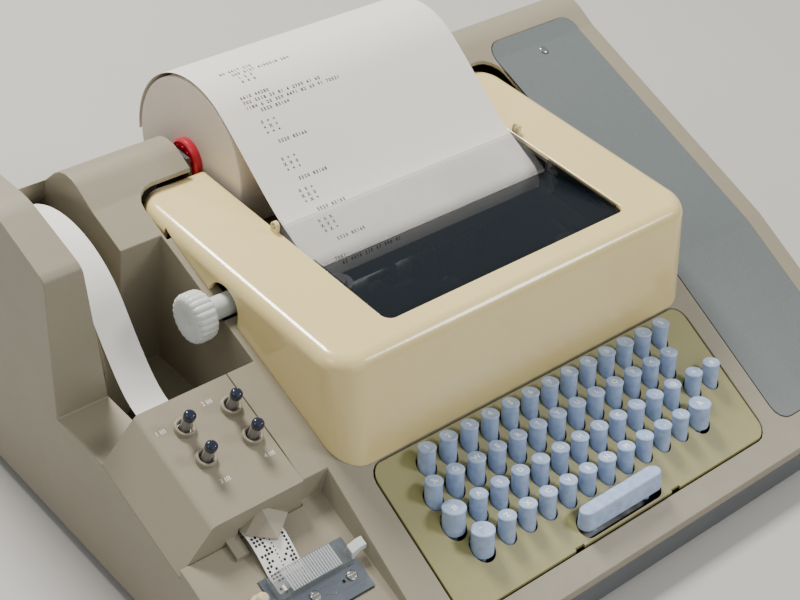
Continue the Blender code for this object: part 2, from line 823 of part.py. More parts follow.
def build_tape():
    paper = material("tape_paper", (0.75, 0.74, 0.70), 0.8)
    reach = tape_roll_radius + gap * 2 + tape_thickness / 2
    turn = math.radians(139)
    slip = (math.sin(turn), -math.cos(turn))
    start = (tape_roll_y + reach * math.cos(turn), tape_roll_z + reach * math.sin(turn))
    entry = (tape_entry_y, tape_entry_z)
    run = (tape_slope_z(tape_meet_y) - tape_entry_z) / (tape_entry_y - tape_meet_y)
    lead = tape_bend * 2
    curve = bezier([start, (start[0] - slip[0] * lead, start[1] - slip[1] * lead),
                    (entry[0] + lead / 2, entry[1] - run * lead / 2 + gap), entry], arc_steps * 3)
    wrap = [(tape_roll_y + reach * math.cos(angle), tape_roll_z + reach * math.sin(angle))
            for angle in (turn * step / (arc_steps * 3) for step in range(arc_steps * 3))]
    path = wrap + curve + [(tape_meet_y + gap, tape_slope_z(tape_meet_y))]
    piece("blank_tape", band("x", path, tape_thickness, tape_left_x, tape_right_x), paper)

    out_y = punch_front_y - tape_bend / 4
    rest = reader_rim + gap + tape_thickness / 2
    land = (tape_land_y, reader_z(tape_land_y) + rest)
    lead = tape_bend / 2
    droop = bezier([(out_y, tape_slope_z(out_y)), (out_y - lead, tape_slope_z(out_y - lead)),
                    (land[0] + lead / 2, land[1] + reader_slope * lead), land], arc_steps * 2)
    end = (tape_end_y, reader_z(tape_end_y) + rest)
    path = [(tape_meet_y - gap, tape_slope_z(tape_meet_y))] + droop + [end]
    piece("punched_tape", band("x", path, tape_thickness, tape_left_x, tape_right_x), paper)

    ring = tube_ring(tape_core_radius, tape_roll_radius, tape_left_x, tape_right_x, round_sides * 2)
    axis_point = (0, tape_roll_y, tape_roll_z)
    pivot = (tape_centre_x, tape_roll_y, tape_roll_z)
    piece("tape_roll", moved(ring, axis_point, (1, 0, 0)),
          material("tape_roll_paper", (0.72, 0.70, 0.64), 0.85), pivot)
    reach_left = hump_inner_x + wall + gap
    reach_right = well_right_x - gap
    hub = turned([(hub_pin_radius, reach_left - wall), (hub_pin_radius, tape_left_x - gap),
                  (tape_hub_radius, tape_left_x - gap), (tape_hub_radius, tape_right_x + gap),
                  (hub_pin_radius, tape_right_x + gap), (hub_pin_radius, reach_right)], inner_sides)
    piece("tape_hub", moved(hub, axis_point, (1, 0, 0)),
          material("hub_grey", (0.10, 0.11, 0.12), 0.5), pivot)


# Punch block under the cover, and the hood over the tape exit
block_half_width = 22 * mm
block_front_y = punch_front_y + wall * 3 + tape_clearance
block_rear_from_front = 201 * mm
block_rear_y = front_y + block_rear_from_front
block_top_z = 103 * mm
throat = 2 * mm
hood_centre_from_left = 62 * mm
hood_centre_x = -half_width + hood_centre_from_left
hood_reach = 17 * mm
hood_brow = 5 * mm
hood_width = 34 * mm
hood_height = 9 * mm
hood_drop = 4.4 * mm
hood_lip = 1 * mm
tab_left_from_left = 34.5 * mm
tab_left_x = -half_width + tab_left_from_left
tab_width = 9.5 * mm
tab_reach = 12 * mm
tab_z = 83 * mm
tab_fall = 6 * mm
tab_thickness = 2.6 * mm


def build_punch_block():
    floor_z = foot_height + pan_floor + gap
    body = prism("x", [(block_front_y, floor_z), (block_rear_y, floor_z),
                       (block_rear_y, block_top_z), (block_front_y + tape_bend, block_top_z),
                       (block_front_y, tape_exit_z + throat * 2)],
                 tape_centre_x - block_half_width, tape_centre_x + block_half_width)
    path = [(block_front_y - overrun, tape_slope_z(block_front_y - overrun)),
            (block_rear_y + overrun, tape_slope_z(block_rear_y + overrun))]
    slot = band("x", path, throat, tape_left_x - tape_clearance, tape_right_x + tape_clearance)
    chad = box(tape_left_x, tape_right_x, block_front_y + wall, block_rear_y + overrun,
               floor_z + wall, tape_exit_z / 2)
    piece("punch_block", less(body, slot, chad), steel())


def hull(corners):
    """The convex solid round a few corners."""
    solid = bmesh.new()
    verts = [solid.verts.new(corner) for corner in corners]
    bmesh.ops.convex_hull(solid, input=verts)
    bmesh.ops.recalc_face_normals(solid, faces=solid.faces)
    return solid


def tape_hood():
    """A pointed hood over the tape where it leaves the punch."""
    back_y = punch_front_y + punch_wall
    low = tape_exit_z + tape_clearance
    half = hood_width / 2
    corners = [(0, back_y, low + hood_height), (-half, back_y, low), (half, back_y, low),
               (-half, punch_front_y - hood_brow, low), (half, punch_front_y - hood_brow, low),
               (0, punch_front_y - hood_reach, low - hood_drop),
               (0, punch_front_y - hood_reach, low - hood_drop + hood_lip)]
    return hull([(hood_centre_x + x, y, z) for x, y, z in corners])


def chad_tab():
    """A small sloping tab beside the tape."""
    low, high = punch_front_y - tab_reach, punch_front_y + punch_wall
    outline = [(low, tab_z - tab_fall - tab_thickness), (high, tab_z - tab_thickness),
               (high, tab_z), (low, tab_z - tab_fall)]
    return prism("x", outline, tab_left_x, tab_left_x + tab_width)


# Tape reader
reader_normal = roof_normal(reader_slope)
reader_lid_left_from_left = 41.5 * mm
reader_lid_left_x = -half_width + reader_lid_left_from_left
reader_lid_right_from_left = 99.5 * mm
reader_lid_right_x = -half_width + reader_lid_right_from_left
reader_lid_front_from_front = 82 * mm
reader_lid_front_y = front_y + reader_lid_front_from_front
reader_lid_rear_from_front = 98 * mm
reader_lid_rear_y = front_y + reader_lid_rear_from_front
reader_lid_height = 6 * mm
latch_length = 12.2 * mm
latch_from_front = 88 * mm
latch_y = front_y + latch_from_front
latch_width = 6 * mm
latch_height = 4 * mm
lever_radius = 6 * mm
lever_length = 12 * mm
lever_from_left = 29 * mm
lever_x = -half_width + lever_from_left
lever_from_front = 89 * mm
lever_y = front_y + lever_from_front


def build_reader():
    drop = reader_plate_thickness - reader_rim
    outline = rectangle(reader_plate_left_x, reader_plate_right_x, reader_rise - drop,
                        reader_rise + reader_rim)
    plate = prism("y", outline, reader_plate_front_y, reader_plate_rear_y, reader_slope)
    slot = prism("y", rectangle(tape_centre_x - tape_width / 4, tape_centre_x + tape_width / 4,
                                reader_rise - overrun / 4, reader_rise + overrun / 4),
                 latch_y - reader_slot / 2, latch_y + reader_slot / 2, reader_slope)
    places = reader_screw_places()
    plate = less(plate, slot, screw_holes(places))
    piece("reader_plate", plate, steel())
    for label, sides, spots in (("reader_screw", ("left", "right"), places),
                                ("panel_screw", ("rear", "front"), panel_screw_places())):
        for side, (x, y, z, normal) in zip(sides, spots):
            piece("%s_%s" % (label, side), moved(screw(), Vector((x, y, z)) + normal * gap, normal),
                  material("screw_steel", (0.5, 0.5, 0.5), 0.3, 1.0))

    base = reader_rise + reader_rim + gap
    roof = base + tape_thickness + tape_clearance
    top = base + reader_lid_height
    side = reader_lid_left_x + wall
    outline = [(reader_lid_left_x, base), (side, base), (side + gap, roof),
               (reader_lid_right_x - wall, roof), (reader_lid_right_x - wall, base),
               (reader_lid_right_x, base), (reader_lid_right_x, top), (reader_lid_left_x, top)]
    lid = prism("y", outline, reader_lid_front_y, reader_lid_rear_y, reader_slope)
    pivot = (reader_lid_left_x, reader_lid_front_y,
             top - reader_lid_height / 2 + reader_slope * reader_lid_front_y)
    piece("reader_lid", lid, material("clear_plastic", (0.6, 0.62, 0.6), 0.15), pivot)

    root_x = reader_lid_right_x + gap * 2
    tip_x = reader_lid_right_x + latch_length
    base += gap
    outline = [(root_x, base), (root_x + wall, base), (root_x + wall, base + latch_height / 2),
               (tip_x, base + latch_height), (tip_x, base + latch_height * 2),
               (root_x, base + latch_height * 1.5)]
    latch = prism("y", outline, latch_y - latch_width / 2, latch_y + latch_width / 2, reader_slope)
    pivot = (root_x + wall / 2, latch_y, base + wall / 2 + reader_slope * latch_y)
    piece("reader_latch", latch, material("milky_plastic", (0.62, 0.66, 0.66), 0.4), pivot)

    pivot = Vector((lever_x, lever_y, reader_z(lever_y))) + reader_normal * gap
    lever = turned([(lever_radius, 0), (lever_radius, lever_length * 0.4),
                    (lever_radius * 0.6, lever_length * 0.6), (lever_radius * 0.7, lever_length),
                    (0, lever_length * 1.2)], small_sides)
    piece("reader_lever", moved(lever, pivot, reader_normal),
          material("lever_cream", (0.62, 0.52, 0.33), 0.4), pivot)


reader_slot = 4 * mm
reader_screw_from_front = 77.5 * mm
reader_screw_y = front_y + reader_screw_from_front
reader_screw_left_from_left = 64.7 * mm
reader_screw_left_x = -half_width + reader_screw_left_from_left
reader_screw_right_from_left = 94.1 * mm
reader_screw_right_x = -half_width + reader_screw_right_from_left


def reader_screw_places():
    return [(x, reader_screw_y, reader_z(reader_screw_y) + reader_rim * math.hypot(1, reader_slope),
             reader_normal) for x in (reader_screw_left_x, reader_screw_right_x)]


# Printer lid with its clear window
ledge_width = 4 * mm
ledge_drop = 6 * mm
window_thickness = 2.2 * mm
window_gap = 0.5 * mm
tear_from_front = 237 * mm
tear_y = front_y + tear_from_front
tear_z = 160 * mm
strip_from_front = 272 * mm
strip_y = front_y + strip_from_front
strip_z = 176 * mm
hinge_from_front = 274 * mm
hinge_y = front_y + hinge_from_front
hinge_z = 177 * mm
hinge_radius = 2 * mm
hinge_boss = 4.5 * mm
hinge_pin = 5 * mm


def lid_outline(inset):
    """The lid from the side; grown inwards by an inset."""
    front_bottom = (lid_front_y + inset, keyboard_z(lid_front_y) + gap)
    front_top = (lid_front_y + lid_face_lean + inset, lid_top_z - inset)
    rear_top = (lid_rear_y - inset, lid_top_z - inset)
    rear_foot = (lid_rear_y - inset, lid_foot_z)
    radius = max(lid_top_radius - inset, gap)
    if inset:
        low = keyboard_z(front_y)
        return rounded([(front_bottom[0], low), front_bottom, front_top, rear_top, (rear_foot[0], low)],
                       [0, 0, radius, radius, 0])
    rest = (lid_rest_y, deck_z(lid_rest_y) + gap)
    bend = (kink_y, deck_z(kink_y) + gap)
    line = rounded([front_bottom, bend, rest], [0, roof_radius * 2, 0], closed=False)
    line = [(y, z + gap) for y, z in line]
    top = rounded([line[0], front_top, rear_top, rear_foot, (lid_rest_y, lid_foot_z), line[-1]],
                  [0, radius, radius, 0, 0, 0])
    return top + list(reversed(line))[1:-1]


def lid_hull(inset):
    side = prism("x", lid_outline(inset), lid_left_x + inset, lid_right_x - inset)
    radius = lid_plan_radius - inset
    plan = prism("z", rounded(rectangle(lid_left_x + inset, lid_right_x - inset,
                                        lid_front_y + inset - gap, lid_rear_y - inset + gap),
                              [radius] * 4), 0, far)
    top = max(lid_top_radius - inset, gap)
    across = prism("y", rounded([(lid_left_x + inset, 0), (lid_left_x + inset, lid_top_z - inset),
                                 (lid_right_x - inset, lid_top_z - inset), (lid_right_x - inset, 0)],
                                [0, top, top, 0]), lid_front_y - overrun, lid_rear_y + overrun)
    return common(side, plan, across)


def hinge_pins(radius, inward):
    """The window's two pins, or the bores for them."""
    made = []
    for inner, outward in ((window_left_x, -1), (window_right_x, 1)):
        low, high = sorted((inner - outward * inward, inner + outward * (window_gap + hinge_pin)))
        made.append(along_x([(radius, low), (radius, high)], hinge_y, hinge_z, small_sides))
    return made


def hinge_blocks():
    """The lid's upstands that hold the window's pins."""
    made = []
    for inner, outward in ((window_left_x, -1), (window_right_x, 1)):
        low, high = sorted((inner + outward * window_gap, inner + outward * (window_gap + hinge_pin)))
        outline = [(hinge_y - hinge_boss, lid_top_z - wall / 2)]
        outline += reversed(arc((hinge_y, hinge_z), hinge_boss, 0, math.pi, arc_steps * 2))
        outline += [(hinge_y + hinge_boss, lid_top_z - wall / 2)]
        made.append(prism("x", outline, low, high))
    return made


def build_printer_lid():
    shell = less(lid_hull(0), lid_hull(wall))
    window = box(window_left_x, window_right_x, window_front_y, lid_rear_y + overrun,
                 lid_foot_z - overrun, far)
    notch = box(lid_left_x - overrun, lid_left_x + overrun, platen_y - knob_sleeve_radius - shaft_clearance,
                platen_y + knob_sleeve_radius + shaft_clearance, lip_z,
                platen_z + knob_sleeve_radius + shaft_clearance)
    shell = less(shell, window, notch)
    web = box(window_left_x, window_right_x, window_front_y - wall, window_front_y,
              lid_top_z - ledge_drop - wall, lid_top_z - wall / 2)
    ledge = box(window_left_x, window_right_x, window_front_y - wall, window_front_y + ledge_width,
                lid_top_z - ledge_drop - wall, lid_top_z - ledge_drop)
    shell = union(shell, web, ledge, *hinge_blocks())
    shell = less(shell, *hinge_pins(hinge_radius + gap, window_gap))
    piece("printer_lid", shell, material("cream_gloss", (0.72, 0.60, 0.36), 0.25))


def build_window_lid():
    left = window_left_x + window_gap
    right = window_right_x - window_gap
    low = lid_top_z - ledge_drop + gap + window_thickness
    path = [(window_front_y + window_gap, low), (window_front_y + ledge_width * 1.5, low),
            (tear_y, tear_z), (strip_y, strip_z)]
    plate = prism("x", path + list(reversed(offset_path(path, window_thickness))), left, right)
    lugs = []
    for inner, outer in ((left, left + wall), (right - wall, right)):
        lug = prism("x", rounded([(strip_y - hinge_boss * 2, strip_z - hinge_boss * 1.2),
                                  (hinge_y + hinge_radius, hinge_z - hinge_radius * 1.4),
                                  (hinge_y + hinge_radius, hinge_z + hinge_radius * 1.4),
                                  (strip_y - hinge_boss * 2, strip_z - hinge_boss * 0.6)],
                                 [0, hinge_radius, hinge_radius, 0]), inner, outer)
        lugs.append(lug)
    pins = hinge_pins(hinge_radius, wall)
    piece("window_lid", union(plate, *lugs, *pins),
          material("clear_window", (0.10, 0.12, 0.13), 0.08), (0, hinge_y, hinge_z))


# Printing unit
rail_radius = 4 * mm
rail_bracket = 2 * mm
rear_rail_from_front = 210 * mm
rear_rail_y = front_y + rear_rail_from_front
rear_rail_z = 100 * mm
front_rail_from_front = 189 * mm
front_rail_y = front_y + front_rail_from_front
front_rail_z = 82 * mm
rail_places = ((rear_rail_y, rear_rail_z), (front_rail_y, front_rail_z))
carriage_left_from_left = 182 * mm
carriage_left_x = -half_width + carriage_left_from_left
carriage_width = 30 * mm
carriage_front_from_front = 181 * mm
carriage_front_y = front_y + carriage_front_from_front
carriage_low_z = 74 * mm
carriage_rear_from_front = 220 * mm
carriage_rear_y = front_y + carriage_rear_from_front
carriage_high_z = 110 * mm
wheel_radius = 10 * mm
wheel_gap = 2.6 * mm
wheel_low_z = 124 * mm
wheel_high_z = 152 * mm
hammer_from_front = 203 * mm
hammer_y = front_y + hammer_from_front
spool_radius = 18 * mm
spool_height = 13 * mm
spool_from_front = 175 * mm
spool_y = front_y + spool_from_front
spool_z = 126 * mm
spool_left_from_left = 200 * mm
spool_left_x = -half_width + spool_left_from_left
spool_right_from_left = 381 * mm
spool_right_x = -half_width + spool_right_from_left
ribbon_thickness = 0.4 * mm
ribbon_low_z = 135 * mm
ribbon_high_z = 147 * mm
gear_teeth = 16
gear_radius = 19.5 * mm
gear_tooth = 2.4 * mm
gear_width = 5 * mm
floor_top = foot_height + pan_floor + gap


def build_printer_frame():
    post_low = platen_y - post_half_width
    outline = [(frame_front_y, floor_top), (frame_front_y, frame_nose_z),
               (frame_step_y, frame_deck_z - gap), (post_low, frame_deck_z), (post_low, post_top_z),
               (platen_y + post_half_width, post_top_z), (platen_y + post_half_width, frame_deck_z),
               (cradle_front_y, frame_deck_z), (roll_y - cradle_half_width, cradle_top_z),
               (roll_y + cradle_half_width, cradle_top_z), (cradle_rear_y, frame_deck_z),
               (frame_rear_y, frame_tail_z), (frame_rear_y, floor_top)]
    sides = [prism("x", outline, x, x + frame_plate)
             for x in (frame_left_x, frame_right_x - frame_plate)]
    ties = [box(frame_left_x + frame_plate / 2, frame_right_x - frame_plate / 2, y, y + tie_width,
                floor_top, floor_top + tie_height) for y in (tie_front_y, tie_middle_y, tie_rear_y)]
    shelves = []
    for x, edge in ((spool_left_x, frame_left_x), (spool_right_x, frame_right_x)):
        low, high = sorted((edge - math.copysign(frame_plate / 2, edge), x + math.copysign(shelf_reach, -x)))
        shelves.append(box(low, high, spool_y - shelf_reach, spool_y + shelf_reach,
                           spool_z - gap - shelf_thickness, spool_z - gap))
    brackets = []
    for edge in (frame_left_x, frame_right_x - frame_plate):
        brackets.append(box(edge, edge + frame_plate, spool_y - shelf_reach, spool_y + shelf_reach,
                            frame_nose_z - shelf_thickness, spool_z - gap - shelf_thickness / 2))
    frame = union(sides[0], sides[1], *ties, *shelves, *brackets)
    bores = [bore_x(platen_y, platen_z, platen_shaft_radius + gap),
             bore_x(roll_y, roll_z, spindle_radius + gap)]
    piece("printer_frame", less(frame, *bores), dark_metal())


frame_front_from_front = 165 * mm
frame_front_y = front_y + frame_front_from_front
frame_nose_z = 92 * mm
frame_step_from_front = 199 * mm
frame_step_y = front_y + frame_step_from_front
frame_deck_z = 120 * mm
frame_tail_z = 60 * mm
frame_rear_from_front = 431 * mm
frame_rear_y = front_y + frame_rear_from_front
post_half_width = 12 * mm
post_top_z = 162 * mm
cradle_front_from_front = 353 * mm
cradle_front_y = front_y + cradle_front_from_front
cradle_half_width = 12 * mm
cradle_rear_from_front = 407 * mm
cradle_rear_y = front_y + cradle_rear_from_front
cradle_top_z = 178 * mm
tie_width = 18 * mm
tie_height = 6 * mm
tie_front_from_front = 173 * mm
tie_front_y = front_y + tie_front_from_front
tie_middle_from_front = 295 * mm
tie_middle_y = front_y + tie_middle_from_front
tie_rear_from_front = 407 * mm
tie_rear_y = front_y + tie_rear_from_front
shelf_reach = 9 * mm
shelf_thickness = 2 * mm
spindle_radius = 4 * mm


def bore_x(y, z, radius):
    return moved(turned([(radius, frame_left_x - overrun), (radius, frame_right_x + overrun)],
                        small_sides), (0, y, z), (1, 0, 0))


tooth_shares = (0.0, 0.22, 0.42, 0.64)


def gear_outline(teeth, radius, depth):
    made = []
    for tooth in range(teeth):
        for part, share in enumerate(tooth_shares):
            turn = math.tau * (tooth + share) / teeth
            reach = radius + (depth / 2 if part in (0, 1) else -depth / 2)
            made.append((reach * math.cos(turn), reach * math.sin(turn)))
    return made


def build_platen():
    left = paper_left_x - platen_overhang
    right = paper_right_x + platen_overhang
    axle = platen_shaft_radius
    sleeve_end = knob_face_x + knob_thickness + overrun - wall * 4
    pivot = (0, platen_y, platen_z)
    roller = along_x([(axle, sleeve_end + gap), (axle, left), (platen_radius, left),
                      (platen_radius, right), (axle, right),
                      (axle, frame_right_x + wall * 2 + gear_width)], platen_y, platen_z)
    piece("platen", roller, material("platen_rubber", (0.025, 0.025, 0.028), 0.6), pivot)
    rim = knob_radius
    inner = knob_sleeve_radius
    knob = along_x([(rim * 0.86, knob_face_x), (rim, knob_face_x + wall),
                    (rim, knob_face_x + knob_thickness - wall),
                    (rim * 0.8, knob_face_x + knob_thickness), (inner, knob_face_x + knob_thickness),
                    (inner, sleeve_end)], platen_y, platen_z)
    piece("platen_knob", knob, material("milky_knob", (0.60, 0.63, 0.62), 0.4), pivot)
    low = frame_right_x + wall
    gear = prism("z", gear_outline(gear_teeth, gear_radius, gear_tooth), low, low + gear_width)
    bore = turned([(axle + gap, low - overrun), (axle + gap, low + overrun)], small_sides)
    piece("platen_gear", moved(less(gear, bore), pivot, (1, 0, 0)),
          material("nylon_white", (0.7, 0.7, 0.66), 0.4), pivot)


core_radius = 13 * mm
plug_flange = 16 * mm


def build_paper_roll():
    pivot = (0, roll_y, roll_z)
    ring = tube_ring(core_radius + gap, roll_radius, paper_left_x, paper_right_x, round_sides * 2)
    piece("paper_roll", moved(ring, (0, roll_y, roll_z), (1, 0, 0)),
          material("paper_roll_side", (0.74, 0.70, 0.62), 0.85), pivot)
    left = frame_left_x - wall * 2
    right = frame_right_x + wall * 2
    flange = wall
    spindle = along_x([
        (spindle_radius, left), (spindle_radius, paper_left_x - gap - flange * 2),
        (plug_flange, paper_left_x - gap - flange * 2), (plug_flange, paper_left_x - gap),
        (core_radius, paper_left_x - gap), (core_radius, paper_right_x + gap),
        (plug_flange, paper_right_x + gap), (plug_flange, paper_right_x + gap + flange),
        (spindle_radius, paper_right_x + gap + flange), (spindle_radius, right)], roll_y, roll_z)
    piece("roll_spindle", spindle, material("core_red", (0.55, 0.02, 0.06), 0.4), pivot)


paper_end_angle = math.radians(-8)


def build_paper_web():
    """Feeds from under the roll, goes round the platen, then back over the roll."""
    platen = (platen_y, platen_z)
    roll = (roll_y, roll_z)
    small = platen_radius + gap + paper_thickness
    large = roll_radius + gap * 3 + paper_thickness
    reach = math.hypot(roll_y - platen_y, roll_z - platen_z)
    heading = math.atan2(roll_z - platen_z, roll_y - platen_y)
    feed = heading - math.asin((large - small) / reach) - math.pi / 2
    slope = math.atan2(strip_z - tear_z, strip_y - tear_y)
    leave = slope + math.pi / 2
    under = arc(platen, small, feed + math.tau, leave, arc_steps * 4)
    run = math.cos(slope)
    start = under[-1]
    exit_y = strip_y + wall
    strip = (exit_y, start[1] + (exit_y - start[0]) * math.tan(slope))
    touch = math.radians(118)
    outer = large + paper_thickness + gap * 4
    land = (roll_y + outer * math.cos(touch), roll_z + outer * math.sin(touch))
    lead = roll_radius / 3
    sweep = bezier([strip, (strip[0] + lead * run, strip[1] + lead * math.sin(slope)),
                    (land[0] - lead * math.sin(touch), land[1] + lead * math.cos(touch)), land],
                   arc_steps * 2)
    over = arc(roll, outer, touch, paper_end_angle, arc_steps * 4)
    path = [(roll_y + large * math.cos(feed), roll_z + large * math.sin(feed))] + under
    path += sweep + over[1:]
    piece("paper_web", band("x", path, paper_thickness, paper_left_x, paper_right_x),
          material("paper_white", (0.74, 0.71, 0.64), 0.8))


def build_carriage():
    rail_left = frame_left_x + frame_plate + gap
    rail_right = frame_right_x - frame_plate - gap
    rails = [along_x([(rail_radius, rail_left), (rail_radius, rail_right)], y, z, small_sides)
             for y, z in rail_places]
    bracket = [(front_rail_y - rail_radius, front_rail_z - rail_radius),
               (rear_rail_y + rail_radius, rear_rail_z - rail_radius),
               (rear_rail_y + rail_radius, rear_rail_z + rail_radius),
               (front_rail_y - rail_radius, front_rail_z + rail_radius)]
    ends = [prism("x", bracket, low, low + rail_bracket)
            for low in (rail_left + gap, rail_right - gap - rail_bracket)]
    piece("carriage_rails", union(*rails, *ends), steel())
    right = carriage_left_x + carriage_width
    body = prism("x", [(carriage_front_y, carriage_low_z), (carriage_rear_y, carriage_low_z + wall * 2),
                       (carriage_rear_y, carriage_high_z), (carriage_front_y + wall * 2, carriage_high_z)],
                 carriage_left_x, right)
    centre_x = (carriage_left_x + right) / 2
    wheel_y = platen_y - platen_radius - wheel_gap - wheel_radius
    bores = [along_x([(rail_radius + gap, carriage_left_x - overrun), (rail_radius + gap, right + overrun)],
                     y, z, small_sides) for y, z in rail_places]
    shelf = box(centre_x - wheel_radius, centre_x + wheel_radius, carriage_rear_y - wall * 2,
                wheel_y + wheel_radius / 2, carriage_high_z - wall, wheel_low_z - wall - gap)
    ears = [box(centre_x + side * wall * 1.2 - wall / 2, centre_x + side * wall * 1.2 + wall / 2,
                hammer_y - wall * 1.5, hammer_y + wall * 1.5, carriage_high_z - wall,
                carriage_high_z + wall * 2.4) for side in (-1, 1)]
    carriage = less(union(body, shelf, *ears), *bores)
    piece("type_carriage", carriage, material("carriage_grey", (0.16, 0.18, 0.20), 0.45, 0.5))
    low = wheel_low_z - wall
    wheel = turned([(wheel_radius * 0.5, low), (wheel_radius * 0.5, wheel_low_z),
                    (wheel_radius, wheel_low_z), (wheel_radius, wheel_high_z),
                    (wheel_radius * 0.5, wheel_high_z), (wheel_radius * 0.5, wheel_high_z + wall)],
                   inner_sides)
    piece("type_wheel", moved(wheel, (centre_x, wheel_y, 0)),
          material("type_metal", (0.45, 0.45, 0.44), 0.35, 0.8), (centre_x, wheel_y, wheel_low_z))
    pivot_z = carriage_high_z + wall
    head_z = (wheel_low_z + wheel_high_z) / 2
    back = wheel_y - wheel_radius - gap * 2
    hammer = prism("x", [(hammer_y - wall / 2, pivot_z - wall * 0.4), (hammer_y + wall / 2, pivot_z - wall * 0.4),
                         (hammer_y + wall / 2, head_z - wall * 1.4), (back, head_z - wall * 1.4),
                         (back, head_z + wall), (hammer_y - wall / 2, head_z + wall)],
                   centre_x - wall / 2, centre_x + wall / 2)
    piece("print_hammer", hammer, steel(), (centre_x, hammer_y, pivot_z))


def build_ribbon():
    names = ("ribbon_spool_left", "ribbon_spool_right")
    for name, x in zip(names, (spool_left_x, spool_right_x)):
        hub = spool_radius * 0.86
        spool = turned([(spool_radius, spool_z), (spool_radius, spool_z + wall / 2),
                        (hub, spool_z + wall / 2), (hub, spool_z + spool_height - wall / 2),
                        (spool_radius, spool_z + spool_height - wall / 2),
                        (spool_radius, spool_z + spool_height),
                        (hub * 0.3, spool_z + spool_height),
                        (hub * 0.3, spool_z + spool_height + wall / 2)], inner_sides)
        piece(name, moved(spool, (x, spool_y, 0)), material("spool_black", (0.03, 0.03, 0.035), 0.4),
              (x, spool_y, spool_z))
    line_y = platen_y - platen_radius - gap * 3 - paper_thickness * 2
    left = spool_left_x - spool_radius - wall / 2
    right = spool_right_x + spool_radius + wall / 2
    path = [(left, spool_y), (left, line_y), (right, line_y), (right, spool_y)]
    path = rounded(path, [0, wall, wall, 0], closed=False)
    piece("ribbon", band("z", path, ribbon_thickness, ribbon_low_z, ribbon_high_z),
          material("ribbon_black", (0.01, 0.01, 0.012), 0.9))


# Motor, belt and main shaft
motor_from_front = 375 * mm
motor_y = front_y + motor_from_front
motor_z = 58 * mm
motor_radius = 36 * mm
motor_left_from_left = 226 * mm
motor_left_x = -half_width + motor_left_from_left
motor_right_from_left = 330 * mm
motor_right_x = -half_width + motor_right_from_left
motor_shaft_radius = 4 * mm
fan_radius = 30 * mm
fan_width = 14 * mm
small_pulley_radius = 8 * mm
large_pulley_radius = 24 * mm
belt_width = 10 * mm
belt_thickness = 1.6 * mm
main_from_front = 297 * mm
main_y = front_y + main_from_front
main_z = 70 * mm
main_radius = 6 * mm
clutch_radius = 15 * mm
clutch_width = 16 * mm
clutch_left_from_left = 206 * mm
clutch_left_x = -half_width + clutch_left_from_left
clutch_middle_from_left = 266 * mm
clutch_middle_x = -half_width + clutch_middle_from_left
clutch_right_from_left = 310 * mm
clutch_right_x = -half_width + clutch_right_from_left
belt_from_left = 348 * mm
belt_x = -half_width + belt_from_left


def build_drive():
    pivot = (0, motor_y, motor_z)
    can = tube_ring(motor_shaft_radius + gap, motor_radius, motor_left_x, motor_right_x)
    can = moved(can, pivot, (1, 0, 0))
    foot_half = motor_radius * 0.8
    stand = box(motor_left_x + wall * 4, motor_right_x - wall * 4, motor_y - foot_half,
                motor_y + foot_half, floor_top, motor_z - motor_radius * 0.7)
    piece("motor", union(can, stand), material("motor_grey", (0.10, 0.12, 0.11), 0.5, 0.3))
    fan_left = motor_left_x - wall - fan_width
    belt_low = belt_x - belt_width / 2
    rotor = along_x([(fan_radius, fan_left), (fan_radius, motor_left_x - wall),
                     (motor_shaft_radius, motor_left_x - wall), (motor_shaft_radius, belt_low - wall),
                     (small_pulley_radius, belt_low - wall / 2),
                     (small_pulley_radius, belt_low + belt_width + wall / 2)],
                    motor_y, motor_z, inner_sides)
    piece("motor_rotor", rotor, steel(), pivot)

    profile = [(main_radius, frame_left_x + frame_plate + gap)]
    for x in (clutch_left_x, clutch_middle_x, clutch_right_x):
        profile += [(main_radius, x), (clutch_radius, x), (clutch_radius, x + clutch_width),
                    (main_radius, x + clutch_width)]
    profile += [(main_radius, belt_low - wall / 2), (large_pulley_radius, belt_low - wall / 2),
                (large_pulley_radius, belt_low + belt_width + wall / 2),
                (main_radius, belt_low + belt_width + wall / 2),
                (main_radius, frame_right_x - frame_plate - gap)]
    piece("main_shaft", along_x(profile, main_y, main_z, inner_sides), steel(), (0, main_y, main_z))

    near = large_pulley_radius + gap
    away = small_pulley_radius + gap
    span = math.hypot(motor_y - main_y, motor_z - main_z)
    heading = math.atan2(motor_z - main_z, motor_y - main_y)
    lean = math.acos((near - away) / span)
    loops = []
    for extra in (0, belt_thickness):
        loop = arc((main_y, main_z), near + extra, heading + lean, heading - lean + math.tau, arc_steps * 4)
        loop += arc((motor_y, motor_z), away + extra, heading - lean, heading + lean, arc_steps * 2)
        loops.append(loop)
    belt = less(prism("x", loops[1], belt_low, belt_low + belt_width),
                prism("x", loops[0], belt_low - overrun, belt_low + overrun))
    piece("drive_belt", belt, material("belt_black", (0.015, 0.015, 0.015), 0.8))


# Keyboard
key_height = 14 * mm
key_skirt = 8 * mm
key_stem_radius = 3 * mm
key_stem_length = 22 * mm
key_clearance = 0.9 * mm
key_dish = 0.6 * mm
key_bar_width = 5 * mm
key_bar_height = 1.6 * mm
key_sides = 10
key_axis = Vector((0, math.sin(key_tilt), math.cos(key_tilt)))
space_length = 88 * mm
space_width = 10 * mm
space_from_left = 288 * mm
space_x = -half_width + space_from_left
space_from_front = 29.5 * mm
space_y = front_y + space_from_front
space_rise = 16.1704 * mm
space_z = keyboard_z(space_y) + space_rise
space_height = 15 * mm
tray_gap = 12 * mm
tray_depth = 10 * mm
tray_margin = 6 * mm
tray_wall = 3 * mm
row_slot = 8 * mm
# Where each row starts and what breaks its even pitch, as shares of the pitch
row_start_shares = (0.0, -0.5, 0.75, 1.25)
row_counts = (13, 13, 11, 10)
large_key_share = 1.15
break_key_share = 1.22
right_key_share = 1.07


